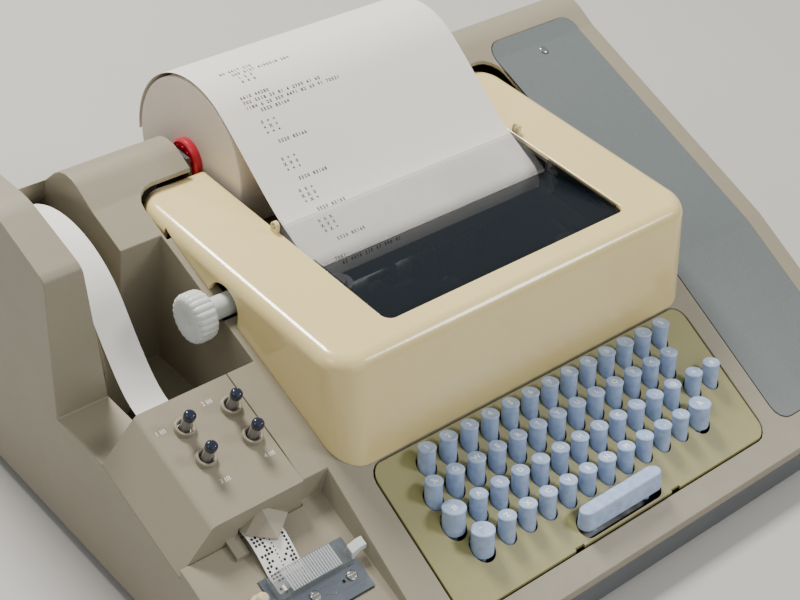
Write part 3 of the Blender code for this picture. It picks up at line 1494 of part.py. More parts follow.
def key_rows():
    """Every key as (row, name or None, x, large) from the left."""
    rows = []
    for row, (start, count) in enumerate(zip(row_start_shares, row_counts)):
        places = [[start + index, None, False] for index in range(count)]
        last = start + count - 1
        if row == 1:
            places[-2][1] = "line_feed_key"
            places[-1][1] = "return_key"
        if row == 2:
            places.insert(0, [start - large_key_share, "control_key", True])
            places.append([last + break_key_share, None, False])
            places.append([last + break_key_share + 1, "break_key", False])
        if row == 3:
            places.insert(0, [start - large_key_share, "shift_key_left", True])
            places.append([last + right_key_share, "shift_key_right", True])
        for share, name, large in places:
            rows.append((row, name, first_key_x + share * key_pitch, large))
    return rows


def key_top(row, x):
    return Vector((x, first_key_y - row * row_step_y, first_key_z - row * row_step_z))


def key_solid(row, x, large):
    radius = large_key_radius if large else key_radius
    below = key_height + key_skirt
    profile = [(key_stem_radius, -below - key_stem_length + key_skirt), (key_stem_radius, -below),
               (radius - key_dish / 2, -below), (radius, -key_dish), (radius - key_dish, 0),
               (0, -key_dish)]
    return moved(turned(profile, key_sides), key_top(row, x), key_axis)


def build_keys():
    caps = material("key_blue_grey", (0.30, 0.40, 0.58), 0.45)
    groups = {}
    for row, name, x, large in key_rows():
        label = name or "type_keys_row_%d" % (row + 1)
        groups.setdefault(label, []).append((row, x, large))
    for label, places in groups.items():
        row, first_x = places[0][:2]
        keys = union(*[key_solid(*spot) for spot in places])
        if len(places) > 1:
            run = places[-1][1] - first_x
            bar = box(0, run, -key_bar_width / 2, key_bar_width / 2, -key_bar_height / 2, key_bar_height)
            foot = key_top(row, first_x) - key_axis * (key_height + key_skirt)
            keys = union(keys, moved(bar, foot, key_axis))
        piece(label, keys, caps, key_top(row, first_x))
    half = space_length / 2
    round_half = space_width / 2
    ends = []
    for side in (1, -1):
        centre = side * (half - round_half)
        start = -math.pi / 2 if side > 0 else math.pi / 2
        ends += arc((centre, 0), round_half, start, start + math.pi, arc_steps * 2)
    bar = prism("z", ends, -space_height, 0)
    stems = [moved(turned([(key_stem_radius, -space_height - key_stem_length / 2), (key_stem_radius, -wall)],
                          small_sides), (side * half * 0.6, 0, 0)) for side in (-1, 1)]
    bar = union(bar, *stems)
    seat = (space_x, space_y, space_z)
    piece("space_bar", moved(bar, seat, key_axis), caps, seat)


def key_holes():
    cutters = []
    for row, name, x, large in key_rows():
        radius = (large_key_radius if large else key_radius) + key_clearance
        hole = turned([(radius, -key_height - key_skirt * 3), (radius, -key_height / 3)], small_sides)
        cutters.append(moved(hole, key_top(row, x), key_axis))
    return joined(*cutters)


def build_keyboard_plate():
    slab = prism("x", [(plate_front_y, keyboard_z(plate_front_y) - plate_thickness),
                       (plate_rear_y, keyboard_z(plate_rear_y) - plate_thickness),
                       (plate_rear_y, keyboard_z(plate_rear_y)),
                       (plate_front_y, keyboard_z(plate_front_y))], plate_left_x, plate_right_x)
    plan = prism("z", rounded(rectangle(plate_left_x, plate_right_x, plate_front_y - gap, plate_rear_y + gap),
                              [plate_corner - plate_groove] * 4), 0, far)
    slot_half = space_length / 2 + key_clearance
    slot = prism("z", rounded(rectangle(-slot_half, slot_half, -space_width / 2 - key_clearance,
                                        space_width / 2 + key_clearance), [space_width / 2] * 4),
                 -space_height - key_skirt * 2, -key_skirt / 2)
    slot = moved(slot, (space_x, space_y, space_z), key_axis)
    plate = less(common(slab, plan), key_holes(), slot)
    piece("keyboard_plate", plate, material("olive_paint", (0.32, 0.29, 0.13), 0.5))

    left = plate_left_x + tray_margin
    right = plate_right_x - tray_margin
    front = plate_front_y + tray_margin
    rear = plate_rear_y - tray_margin
    drop = plate_thickness + tray_gap

    def slab_outline(high, low, y0, y1):
        return [(y0, keyboard_z(y0) - low), (y1, keyboard_z(y1) - low),
                (y1, keyboard_z(y1) - high), (y0, keyboard_z(y0) - high)]

    tray = prism("x", slab_outline(drop, drop + tray_depth, front, rear), left, right)
    side_outline = slab_outline(plate_thickness + gap, drop + tray_depth, front, rear)
    side_outline[0] = (front, floor_top)
    side_outline[1] = (rear, floor_top)
    sides = [prism("x", side_outline, x, x + tray_wall) for x in (left, right - tray_wall)]
    tray = union(tray, *sides)
    slots = []
    for row in range(len(row_counts) + 1):
        if row < len(row_counts):
            top = key_top(row, 0)
        else:
            top = Vector((0, space_y, space_z))
        centre_y = top.y - key_axis.y * (top.z - keyboard_z(top.y) + drop + tray_depth / 2)
        slots.append(box(left + tray_wall * 2, right - tray_wall * 2, centre_y - row_slot / 2,
                         centre_y + row_slot / 2, 0, keyboard_z(centre_y) - drop / 2))
    piece("keyboard_frame", less(tray, joined(*slots)), dark_metal())


build_base()
build_main_cover()
build_side_panel()
build_mode_knob()
build_cable_bush()
build_punch_cover()
build_punch_buttons()
build_tape()
build_punch_block()
build_reader()
build_printer_lid()
build_window_lid()
build_printer_frame()
build_platen()
build_paper_roll()
build_paper_web()
build_carriage()
build_ribbon()
build_drive()
build_keys()
build_keyboard_plate()
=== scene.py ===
import json
import math

import bmesh
import bpy
from mathutils import Matrix, Vector


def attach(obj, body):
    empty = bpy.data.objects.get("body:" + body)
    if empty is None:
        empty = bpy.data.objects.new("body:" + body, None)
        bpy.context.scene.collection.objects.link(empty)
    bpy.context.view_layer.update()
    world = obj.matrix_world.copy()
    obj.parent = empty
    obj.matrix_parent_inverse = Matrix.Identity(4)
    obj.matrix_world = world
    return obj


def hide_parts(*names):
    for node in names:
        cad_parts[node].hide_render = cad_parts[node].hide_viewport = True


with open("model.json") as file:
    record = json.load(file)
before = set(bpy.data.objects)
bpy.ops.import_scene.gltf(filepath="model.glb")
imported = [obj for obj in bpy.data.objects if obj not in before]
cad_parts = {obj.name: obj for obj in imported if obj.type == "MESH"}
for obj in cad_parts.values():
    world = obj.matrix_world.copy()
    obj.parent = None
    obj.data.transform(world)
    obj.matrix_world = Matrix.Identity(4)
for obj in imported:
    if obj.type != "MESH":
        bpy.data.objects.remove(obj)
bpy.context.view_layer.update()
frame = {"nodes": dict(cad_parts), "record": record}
print("frame loaded:", len(frame["nodes"]), "nodes")

# Lengths below are millimetres; addPiece turns a finished piece into metres
mm = 0.001
collection = bpy.context.scene.collection

# The body's planes, as the frame has them: heights over y
body = {
    "frontY": -235, "lipZ": 31, "keyboardSlope": 0.5027, "deckRise": 136.3,
    "deckSlope": 0.347, "readerRise": 116, "readerSlope": 0.36, "gap": 0.3,
}


def keyboardZ(y):
    return body["lipZ"] + body["keyboardSlope"] * (y - body["frontY"])


def deckZ(y):
    return body["deckRise"] + body["deckSlope"] * y


def readerZ(y):
    return body["readerRise"] + body["readerSlope"] * y


# Camera, solved from the key grid of the photograph
view = {
    "right": (0.748471, -0.65487, 0.104577), "up": (0.345649, 0.51981, 0.781233),
    "back": (-0.565966, -0.548583, 0.615418), "place": (-729.18, -688.36, 871.63),
    "lens": 78.75, "sensor": 36, "far": 20,
}


def setCamera():
    data = bpy.data.cameras.new("camera")
    data.lens, data.sensor_width = view["lens"], view["sensor"]
    camera = bpy.data.objects.new("camera", data)
    turn = Matrix((view["right"], view["up"], view["back"])).transposed().to_4x4()
    camera.matrix_world = Matrix.Translation(Vector(view["place"]) * mm) @ turn
    data.clip_end = view["far"]
    collection.objects.link(camera)
    bpy.context.scene.camera = camera


setCamera()
print("camera set")


# A socket; an expression on it adds the Math nodes that it needs
class Wire:
    def __init__(self, tree, socket=None):
        self.tree, self.socket = tree, socket

    def add(self, kind, settings=None, inputs=None, output=0):
        node = self.tree.nodes.new(kind)
        for key, value in (settings or {}).items():
            if key == "stops":
                stops = node.color_ramp.elements
                for place, colour in value[1:-1]:
                    stops.new(place).color = (*colour, 1)
                for index, (place, colour) in ((0, value[0]), (-1, value[-1])):
                    stops[index].position, stops[index].color = place, (*colour, 1)
            else:
                setattr(node, key, value)
        for key, value in (inputs or {}).items():
            if isinstance(value, Wire):
                self.tree.links.new(value.socket, node.inputs[key])
            else:
                node.inputs[key].default_value = value
        return Wire(self.tree, node.outputs[output])

    def maths(self, operation, first, second=0.0, clamp=False):
        return self.add("ShaderNodeMath", {"operation": operation, "use_clamp": clamp},
                        {0: first, 1: second})

    def __add__(self, other):
        return self.maths("ADD", self, other)

    def __sub__(self, other):
        return self.maths("SUBTRACT", self, other)

    def __rsub__(self, other):
        return self.maths("SUBTRACT", other, self)

    def __mul__(self, other):
        return self.maths("MULTIPLY", self, other)

    def __truediv__(self, other):
        return self.maths("DIVIDE", self, other)

    __radd__, __rmul__ = __add__, __mul__

    def power(self, other):
        return self.maths("POWER", self, other)

    def clamped(self):
        return self.maths("ADD", self, 0.0, True)


def colourMix(share, first, second, how="MIX"):
    tree = share if isinstance(share, Wire) else first if isinstance(first, Wire) else second
    pick = [colour if isinstance(colour, Wire) else (*colour, 1) for colour in (first, second)]
    return tree.add("ShaderNodeMix", {"data_type": "RGBA", "blend_type": how},
                    {0: share, 6: pick[0], 7: pick[1]}, 2)


def noise(start, where, scale, detail=3.0, roughness=0.5):
    return start.add("ShaderNodeTexNoise", None, {"Vector": where, "Scale": scale,
                                                  "Detail": detail, "Roughness": roughness})


def remap(value, low, high):
    return value.add("ShaderNodeMapRange", {"clamp": True},
                     {"Value": value, "From Min": low, "From Max": high})


def stretched(start, where, scale):
    return start.add("ShaderNodeMapping", {"vector_type": "POINT"},
                     {"Vector": where, "Scale": scale})


def newMaterial(name, **fixed):
    made = bpy.data.materials.new(name)
    made.use_nodes = True
    shader = made.node_tree.nodes["Principled BSDF"]
    start = Wire(made.node_tree)
    where = start.add("ShaderNodeTexCoord", output=3)
    for key, value in fixed.items():
        socket = shader.inputs[key]
        socket.default_value = (*value, 1) if isinstance(value, tuple) else value
    return made, shader, start, where


def feed(shader, socket, wire):
    wire.tree.links.new(wire.socket, shader.inputs[socket])


def bumpFrom(height, distance, strength=1.0, normal=None):
    inputs = {"Height": height, "Distance": distance, "Strength": strength}
    if normal is not None:
        inputs["Normal"] = normal
    return height.add("ShaderNodeBump", None, inputs)


# Moulded or painted surfaces: base colour, aged patches, fine grain and scuffs
def mouldedFinish(name, colour, aged, grain=900, grainDepth=0.00004, rough=0.45, roughSpread=0.12,
                  patch=5.0, speck=0.0, **fixed):
    made, shader, start, where = newMaterial(name, **fixed)
    broad = remap(noise(start, where, patch, 4.0, 0.55), 0.35, 0.68)
    cloudy = remap(noise(start, where, patch * 9, 3.0, 0.6), 0.3, 0.7)
    fine = noise(start, where, grain, 2.0, 0.6)
    tone = colourMix(broad * 0.7 + cloudy * 0.18, colour, aged)
    if speck:
        dust = remap(noise(start, where, 2600, 1.0, 0.5), 0.66, 0.75)
        tone = colourMix(dust * speck, tone, (0.75, 0.73, 0.66))
    tone = colourMix((1 - fine) * 0.10, tone, tuple(part * 0.55 for part in colour))
    feed(shader, "Base Color", tone)
    worn = noise(start, stretched(start, where, (1.0, 6.0, 6.0)), 30, 5.0, 0.65)
    feed(shader, "Roughness", (worn - 0.5) * roughSpread + cloudy * 0.05 + rough)
    wave = noise(start, where, 16, 2.0, 0.5)
    feed(shader, "Normal", bumpFrom(fine, grainDepth, 0.8, bumpFrom(wave, 0.0004, 0.12)))
    return made


def metalFinish(name, colour, rough=0.35, along=(1.0, 40.0, 40.0), metallic=1.0, grime=0.35,
                grimeColour=(0.02, 0.018, 0.015)):
    made, shader, start, where = newMaterial(name, Metallic=metallic)
    lines = noise(start, stretched(start, where, along), 60, 3.0, 0.7)
    dirt = remap(noise(start, where, 45, 5.0, 0.62), 0.5, 0.72)
    feed(shader, "Base Color", colourMix(dirt * grime, colour, grimeColour))
    feed(shader, "Roughness", lines * 0.22 + dirt * 0.2 + (rough - 0.1))
    feed(shader, "Normal", bumpFrom(lines, 0.00004, 0.5))
    return made


def clearFinish(name, colour, alpha, rough=0.05, **fixed):
    made, shader, start, where = newMaterial(name, IOR=1.45, **fixed)
    smear = remap(noise(start, where, 14, 6.0, 0.7), 0.45, 0.75)
    dust = remap(noise(start, where, 1500, 2.0, 0.6), 0.66, 0.72)
    facing = start.add("ShaderNodeLayerWeight", None, {"Blend": 0.35}, "Facing")
    feed(shader, "Base Color", colourMix(smear * 0.25, colour, tuple(c * 0.8 for c in colour)))
    feed(shader, "Roughness", smear * 0.12 + dust * 0.3 + rough)
    feed(shader, "Alpha", (facing.power(2.5) * 0.7 + smear * 0.05 + dust * 0.08 + alpha).clamped())
    return made


def paperFinish(name, colour, edge, fibre=1800):
    made, shader, start, where = newMaterial(name)
    soft = noise(start, where, 9, 3.0, 0.5)
    fibres = noise(start, stretched(start, where, (1.0, 0.35, 0.35)), fibre, 4.0, 0.7)
    tone = colourMix(remap(soft, 0.3, 0.75) * 0.5, colour, edge)
    feed(shader, "Base Color", colourMix((1 - fibres) * 0.12, tone, tuple(c * 0.7 for c in edge)))
    feed(shader, "Roughness", fibres * 0.2 + 0.68)
    feed(shader, "Normal", bumpFrom(fibres, 0.00003, 0.5))
    return made


# Wound paper seen from its side: fine rings round an axis along x
def woundFinish(name, colour, gapColour, axisY, axisZ, rings):
    made, shader, start, where = newMaterial(name)
    parts = [start.add("ShaderNodeSeparateXYZ", None, {0: where}, part) for part in (1, 2)]
    across, up = parts[0] - axisY * mm, parts[1] - axisZ * mm
    radius = (across * across + up * up).power(0.5)
    uneven = noise(start, where, 60, 3.0, 0.6)
    wave = start.maths("SINE", radius * rings + uneven * 2.2)
    line = remap(wave, 0.2, 1.0)
    slow = remap(noise(start, where, 24, 3.0, 0.6), 0.35, 0.7)
    feed(shader, "Base Color", colourMix(line * 0.4 + slow * 0.2, colour, gapColour))
    feed(shader, "Roughness", uneven * 0.1 + 0.78)
    feed(shader, "Normal", bumpFrom(wave, 0.00012, 0.6))
    return made


def keyFinish(name):
    made, shader, start, where = newMaterial(name)
    marble = noise(start, where, 150, 5.0, 0.6)
    veins = remap(noise(start, where, 330, 4.0, 0.6), 0.45, 0.75)
    tone = start.add("ShaderNodeValToRGB", {"stops": [
        (0.30, (0.29, 0.40, 0.60)), (0.52, (0.38, 0.50, 0.74)), (0.75, (0.48, 0.60, 0.82))]},
        {"Fac": marble})
    grime = remap(noise(start, where, 60, 4.0, 0.6), 0.58, 0.8)
    tone = colourMix(veins * 0.20, tone, (0.50, 0.58, 0.72))
    feed(shader, "Base Color", colourMix(grime * 0.22, tone, (0.20, 0.22, 0.25)))
    feed(shader, "Roughness", marble * 0.2 + 0.30)
    feed(shader, "Normal", bumpFrom(noise(start, where, 1400, 2.0, 0.6), 0.00003, 0.6))
    return made


finish = {
    "taupe": mouldedFinish("mouldedTaupe", (0.315, 0.285, 0.212), (0.272, 0.242, 0.172), rough=0.38,
                           speck=0.25),
    "cream": mouldedFinish("glossyCream", (0.86, 0.71, 0.34), (0.80, 0.63, 0.26), grain=500,
                           grainDepth=0.00001, rough=0.20, roughSpread=0.08, patch=3.5,
                           **{"Coat Weight": 0.6, "Coat Roughness": 0.07}),
    "panel": mouldedFinish("greyEnamel", (0.146, 0.171, 0.176), (0.124, 0.146, 0.150), grain=1500,
                           grainDepth=0.00005, rough=0.38, speck=0.35),
    "olive": mouldedFinish("oliveEnamel", (0.335, 0.318, 0.130), (0.290, 0.268, 0.100), grain=1300,
                           grainDepth=0.00005, rough=0.36, speck=0.2),
    "key": keyFinish("marbledKey"),
    "keyPrint": mouldedFinish("keyPrint", (0.95, 0.96, 0.98), (0.88, 0.90, 0.94), rough=0.4),
    "bodyPrint": mouldedFinish("bodyPrint", (0.80, 0.80, 0.76), (0.70, 0.70, 0.66), rough=0.5),
    "ink": mouldedFinish("printInk", (0.035, 0.035, 0.045), (0.07, 0.07, 0.085), rough=0.7),
    "ball": mouldedFinish("buttonBall", (0.020, 0.026, 0.050), (0.014, 0.018, 0.035), grain=700,
                          grainDepth=0.00001, rough=0.10, roughSpread=0.05),
    "stem": mouldedFinish("buttonStem", (0.23, 0.22, 0.21), (0.17, 0.165, 0.16), rough=0.3),
    "window": clearFinish("smokedWindow", (0.014, 0.020, 0.028), 0.34),
    "clear": clearFinish("clearLid", (0.20, 0.22, 0.23), 0.30, 0.06),
    # The lid's ribs are the same clear plastic as the lid; their near-white colour and higher
    # opacity are a painted highlight
    "rib": clearFinish("clearRib", (0.74, 0.78, 0.80), 0.50, 0.10),
    "strip": clearFinish("clearStrip", (0.30, 0.31, 0.32), 0.10),
    "paper": paperFinish("plainPaper", (0.86, 0.83, 0.775), (0.81, 0.775, 0.70)),
    "tape": paperFinish("tapePaper", (0.92, 0.92, 0.89), (0.88, 0.88, 0.85)),
    "rollSide": woundFinish("paperRollSide", (0.90, 0.82, 0.72), (0.66, 0.56, 0.44),
                            146, 168, 7200),
    "tapeSide": woundFinish("tapeRollSide", (0.86, 0.82, 0.68), (0.60, 0.54, 0.40), 122, 92, 7600),
    # Near-black for the discs drawn on the tape where it is punched: painted shade in place of open
    # holes
    "hole": mouldedFinish("holeDark", (0.012, 0.012, 0.014), (0.02, 0.02, 0.02), rough=0.8),
    "red": mouldedFinish("redCore", (0.56, 0.015, 0.035), (0.42, 0.010, 0.025), grain=800,
                         grainDepth=0.00001, rough=0.28),
    "milky": mouldedFinish("milkyPlastic", (0.70, 0.74, 0.73), (0.62, 0.65, 0.62), grain=700,
                           grainDepth=0.00001, rough=0.30,
                           **{"Subsurface Weight": 0.25, "Subsurface Scale": 0.004}),
    "lever": mouldedFinish("leverCream", (0.66, 0.56, 0.36), (0.58, 0.47, 0.28), rough=0.35),
    "black": mouldedFinish("blackPlastic", (0.022, 0.022, 0.024), (0.035, 0.034, 0.032),
                           rough=0.36),
    "rubber": mouldedFinish("blackRubber", (0.020, 0.020, 0.021), (0.034, 0.033, 0.031), rough=0.72,
                            speck=0.1),
    "steel": metalFinish("platedSteel", (0.42, 0.44, 0.47), 0.34),
    "readerSteel": metalFinish("readerSteel", (0.30, 0.34, 0.40), 0.30, grime=0.2),
    "chrome": metalFinish("brightScrew", (0.62, 0.62, 0.60), 0.22, grime=0.15),
    "darkMetal": metalFinish("oiledMetal", (0.075, 0.080, 0.088), 0.42, metallic=0.7),
    "carriage": metalFinish("carriageMetal", (0.17, 0.19, 0.21), 0.40, metallic=0.6),
    "type": metalFinish("typeMetal", (0.45, 0.45, 0.43), 0.32),
    "pan": mouldedFinish("panEnamel", (0.115, 0.125, 0.135), (0.085, 0.092, 0.10), rough=0.5,
                         speck=0.2),
    "motor": mouldedFinish("motorEnamel", (0.095, 0.115, 0.105), (0.07, 0.085, 0.08), rough=0.42),
    "nylon": mouldedFinish("whiteNylon", (0.72, 0.72, 0.68), (0.62, 0.61, 0.55), rough=0.42),
    "inked": mouldedFinish("inkedRibbon", (0.010, 0.010, 0.012), (0.018, 0.017, 0.02), grain=2500,
                           grainDepth=0.00008, rough=0.85),
}
print("finishes made:", len(finish))


# Rounds an outline's corners, with one radius or one for each corner
def roundCorners(points, radii, closed=True, steps=8):
    made = []
    for index, point in enumerate(points):
        radius = radii[index] if isinstance(radii, list) else radii
        if not radius or (not closed and index in (0, len(points) - 1)):
            made.append(tuple(point))
            continue
        here = Vector(point)
        back = Vector(points[index - 1]) - here
        ahead = Vector(points[(index + 1) % len(points)]) - here
        room = min(back.length, ahead.length) / 2
        back, ahead = back.normalized(), ahead.normalized()
        half = back.angle(ahead) / 2
        run = min(radius / math.tan(half), room)
        centre = here + (back + ahead).normalized() * (run / math.cos(half))
        start, end = here + back * run - centre, here + ahead * run - centre
        sweep = math.atan2(start.x * end.y - start.y * end.x, start.dot(end))
        for step in range(steps + 1):
            turn = Matrix.Rotation(sweep * step / steps, 2)
            made.append(tuple(centre + turn @ start))
    return made


def offsetPath(points, distance):
    made = []
    normals = []
    for first, second in zip(points, points[1:]):
        along = (Vector(second) - Vector(first)).normalized()
        normals.append(Vector((along.y, -along.x)))
    for index, point in enumerate(points):
        before, after = normals[max(index - 1, 0)], normals[min(index, len(normals) - 1)]
        mitre = (before + after).normalized()
        made.append(tuple(Vector(point) + mitre * (distance / mitre.dot(before))))
    return made


def rectangle(u0, u1, v0, v1):
    return [(u0, v0), (u1, v0), (u1, v1), (u0, v1)]


def circle(radius, sides):
    return [(radius * math.cos(math.tau * step / sides),
             radius * math.sin(math.tau * step / sides)) for step in range(sides)]


def arc(centre, radius, start, end, steps):
    return [(centre[0] + radius * math.cos(start + (end - start) * step / steps),
             centre[1] + radius * math.sin(start + (end - start) * step / steps))
            for step in range(steps + 1)]


def bezier(points, steps):
    made = []
    for step in range(steps + 1):
        t = step / steps
        weights = ((1 - t) ** 3, 3 * t * (1 - t) ** 2, 3 * t * t * (1 - t), t ** 3)
        made.append(tuple(sum(w * p[part] for w, p in zip(weights, points)) for part in (0, 1)))
    return made


# Joins pairs of rings of corners; a ring of one corner is a pole
def bridged(solid, pairs, sides):
    for lower, upper in pairs:
        for index in range(sides):
            after = (index + 1) % sides
            corners = [lower[index % len(lower)], lower[after % len(lower)],
                       upper[after % len(upper)], upper[index % len(upper)]]
            solid.faces.new(list(dict.fromkeys(corners)))
    bmesh.ops.recalc_face_normals(solid, faces=solid.faces)
    return solid


def prism(axis, outline, low, high, slope=0.0):
    place = {"x": lambda u, v, w: (w, u, v), "y": lambda u, v, w: (u, w, v + slope * w),
             "z": lambda u, v, w: (u, v, w)}[axis]
    solid = bmesh.new()
    ends = [[solid.verts.new(place(u, v, w)) for u, v in outline] for w in (low, high)]
    for end in ends:
        solid.faces.new(end)
    return bridged(solid, [ends], len(outline))


def box(x0, x1, y0, y1, z0, z1):
    return prism("z", rectangle(x0, x1, y0, y1), z0, z1)


# Turns (radius, height) points about z; a loop leaves a bore
def lathe(profile, sides=48, loop=False):
    solid = bmesh.new()
    rings = [[solid.verts.new((0, 0, height))] if radius == 0 else
             [solid.verts.new((x, y, height)) for x, y in circle(radius, sides)]
             for radius, height in profile]
    pairs = list(zip(rings, rings[1:])) + ([(rings[-1], rings[0])] if loop else [])
    for end in [] if loop else [rings[0], rings[-1]]:
        if len(end) > 1:
            solid.faces.new(end)
    return bridged(solid, pairs, sides)


def rod(radius, low, high, sides=40):
    return lathe([(0, low), (radius, low), (radius, high), (0, high)], sides)


def softProfile(points, radii, steps=4):
    return roundCorners(points, radii, closed=False, steps=steps)


def placed(solid, offset=(0, 0, 0), axis=None):
    matrix = Matrix.Translation(Vector(offset))
    if axis is not None:
        matrix = matrix @ Vector((0, 0, 1)).rotation_difference(Vector(axis)).to_matrix().to_4x4()
    bmesh.ops.transform(solid, matrix=matrix, verts=solid.verts)
    return solid


# Lays a solid made about z along x instead
def acrossAt(solid, y, z):
    return placed(solid, (0, y, z), (1, 0, 0))


def together(*solids):
    made = bmesh.new()
    for solid in solids:
        mesh = bpy.data.meshes.new("part")
        solid.to_mesh(mesh)
        solid.free()
        made.from_mesh(mesh)
        bpy.data.meshes.remove(mesh)
    return made


def looseObject(name, solid):
    mesh = bpy.data.meshes.new(name)
    solid.to_mesh(mesh)
    solid.free()
    made = bpy.data.objects.new(name, mesh)
    collection.objects.link(made)
    return made


def evaluatedSolid(item):
    mesh = bpy.data.meshes.new_from_object(
        item.evaluated_get(bpy.context.evaluated_depsgraph_get()))
    solid = bmesh.new()
    solid.from_mesh(mesh)
    bpy.data.meshes.remove(mesh)
    return solid


def joinedBy(operation, base, *tools):
    holder = looseObject("base", base)
    helpers = [looseObject("tool", tool) for tool in tools]
    for helper in helpers:
        modifier = holder.modifiers.new("join", "BOOLEAN")
        modifier.object, modifier.operation, modifier.solver = helper, operation, "EXACT"
    result = evaluatedSolid(holder)
    for item in [holder] + helpers:
        bpy.data.objects.remove(item)
    bmesh.ops.remove_doubles(result, verts=result.verts, dist=0.002)
    return result


def less(base, *tools):
    return joinedBy("DIFFERENCE", base, *tools)


def plus(base, *tools):
    return joinedBy("UNION", base, *tools)


def common(base, *tools):
    return joinedBy("INTERSECT", base, *tools)


def flatMerged(solid, angle=0.4):
    bmesh.ops.dissolve_limit(solid, angle_limit=math.radians(angle), verts=solid.verts,
                             edges=solid.edges, use_dissolve_boundaries=False)
    return solid


def softened(solid, width, segments=3, limit=40, chosen=None, clamp=True):
    flatMerged(solid)
    edges = [edge for edge in solid.edges if len(edge.link_faces) == 2
             and edge.calc_face_angle(0) > math.radians(limit) and (not chosen or chosen(edge))]
    if edges:
        bmesh.ops.bevel(solid, geom=edges, offset=width, segments=segments, profile=0.5,
                        affect="EDGES", clamp_overlap=clamp)
    return solid


# A merged copy of a node of the frame, in millimetres
def nodeSolid(node):
    solid = bmesh.new()
    solid.from_mesh(frame["nodes"][node].data)
    bmesh.ops.scale(solid, vec=(1 / mm,) * 3, verts=solid.verts)
    bmesh.ops.remove_doubles(solid, verts=solid.verts, dist=0.01)
    return solid


def addPiece(name, solid, look, bodyName, replaced=(), smooth=38):
    bmesh.ops.scale(solid, vec=(mm,) * 3, verts=solid.verts)
    mesh = bpy.data.meshes.new(name)
    solid.to_mesh(mesh)
    solid.free()
    mesh.materials.clear()
    mesh.materials.append(finish[look])
    mesh.shade_smooth()
    mesh.set_sharp_from_angle(angle=math.radians(smooth))
    piece = bpy.data.objects.new(name, mesh)
    collection.objects.link(piece)
    weigh = piece.modifiers.new("weigh", "WEIGHTED_NORMAL")
    weigh.keep_sharp = True
    piece.data = bpy.data.meshes.new_from_object(
        piece.evaluated_get(bpy.context.evaluated_depsgraph_get()))
    piece.modifiers.clear()
    piece.data.name = name
    bpy.data.meshes.remove(mesh)
    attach(piece, bodyName)
    if replaced:
        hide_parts(*replaced)
    return piece


bodyOf = {node: name for name, nodes in frame["record"]["behaviour"]["bodies"].items()
          for node in nodes}


def camel(node):
    first, *words = node.split("_")
    return first + "".join(word.capitalize() for word in words)


# Puts a solid in a node's place and on its body
def standIn(node, solid, look, smooth=38, name=None):
    return addPiece(name or camel(node), solid, look, bodyOf[node], [node], smooth)


# Copies a node with its edges softened
def dressNode(node, look, width):
    return standIn(node, softened(nodeSolid(node), width, 2), look)


# The tape hump's front and the ledge beside the tape well
cover = {"humpY": 30, "humpLean": 12, "humpTop": 203, "humpRight": -247, "ledge": 100,
         "edge": 0.8, "slack": 0.5, "shelfLeft": -262, "shelfFront": -20.7, "shelfRear": 20,
         "wellWall": 3, "wellLow": 31}


def dressCover():
    solid = nodeSolid("main_cover")
    lean = cover["humpLean"] / (cover["humpTop"] - cover["ledge"])
    for corner in solid.verts:
        ideal = cover["humpY"] + lean * (corner.co.z - cover["ledge"])
        inside = corner.co.x < cover["humpRight"] and corner.co.z > cover["ledge"] + 1
        if inside and abs(corner.co.y - ideal) < cover["slack"]:
            corner.co.y = ideal  # the upper and lower halves of the front are one plane
    right, wall, top = cover["humpRight"], cover["wellWall"], cover["ledge"]
    shelf = box(cover["shelfLeft"], right, cover["shelfFront"], cover["shelfRear"], top - wall, top)
    side = box(right - wall, right, cover["shelfFront"], cover["shelfRear"], cover["wellLow"],
               top - wall / 2)
    solid = plus(solid, shelf, side)
    standIn("main_cover", softened(solid, cover["edge"], clamp=False), "taupe")


dressCover()

# Nodes that keep their shape: finish, and width of the softened edge
plainNodes = {
    "side_panel": ("panel", 0.4), "base_pan": ("pan", 0.5), "punch_block": ("darkMetal", 0.3),
    "printer_frame": ("darkMetal", 0.3), "carriage_rails": ("steel", 0.2),
    "type_carriage": ("carriage", 0.4), "print_hammer": ("steel", 0.2),
    "keyboard_frame": ("darkMetal", 0.3), "main_shaft": ("steel", 0.3),
    "drive_belt": ("rubber", 0.2), "rubber_foot_front_left": ("rubber", 0.4),
    "rubber_foot_front_right": ("rubber", 0.4), "rubber_foot_rear_left": ("rubber", 0.4),
    "rubber_foot_rear_right": ("rubber", 0.4), "mode_knob": ("black", 0.6),
    "cable_bush": ("rubber", 0.3), "type_wheel": ("type", 0.1),
    "panel_screw_rear": ("chrome", 0.15), "panel_screw_front": ("chrome", 0.15),
}
for node, (look, width) in plainNodes.items():
    dressNode(node, look, width)
print("plain nodes dressed")

# Nodes that are shown as the frame has them
bareNodes = {"ribbon_spool_left": "black", "ribbon_spool_right": "black", "ribbon": "inked",
             "motor": "motor", "motor_rotor": "steel"}
for node, look in bareNodes.items():
    data = frame["nodes"][node].data
    data.materials.clear()
    data.materials.append(finish[look])
print("bare nodes finished:", len(bareNodes))

lid = {
    "left": -164, "right": 171, "front": -112, "rear": 129, "lean": 13.5, "top": 172,
    "foot": 158, "rest": 88, "cornerRadius": 23, "topRadius": 10, "wall": 3,
    "openLeft": -106, "openRight": 119, "openFront": -76, "openRadius": 7, "rim": 1.1,
    "shelf": 4, "shelfDrop": 6, "kinkRadius": 52, "notch": 16, "shaftY": 20, "shaftZ": 146,
    "hingeY": 39, "hingeZ": 177, "bossRadius": 3.2, "bossWidth": 3, "bossGap": 0.5, "pin": 2,
    "boreLeft": -118, "boreRight": 130, "kinkY": -82.43, "hullLow": 30, "behind": 200,
}
reach = 400  # past every side of the machine


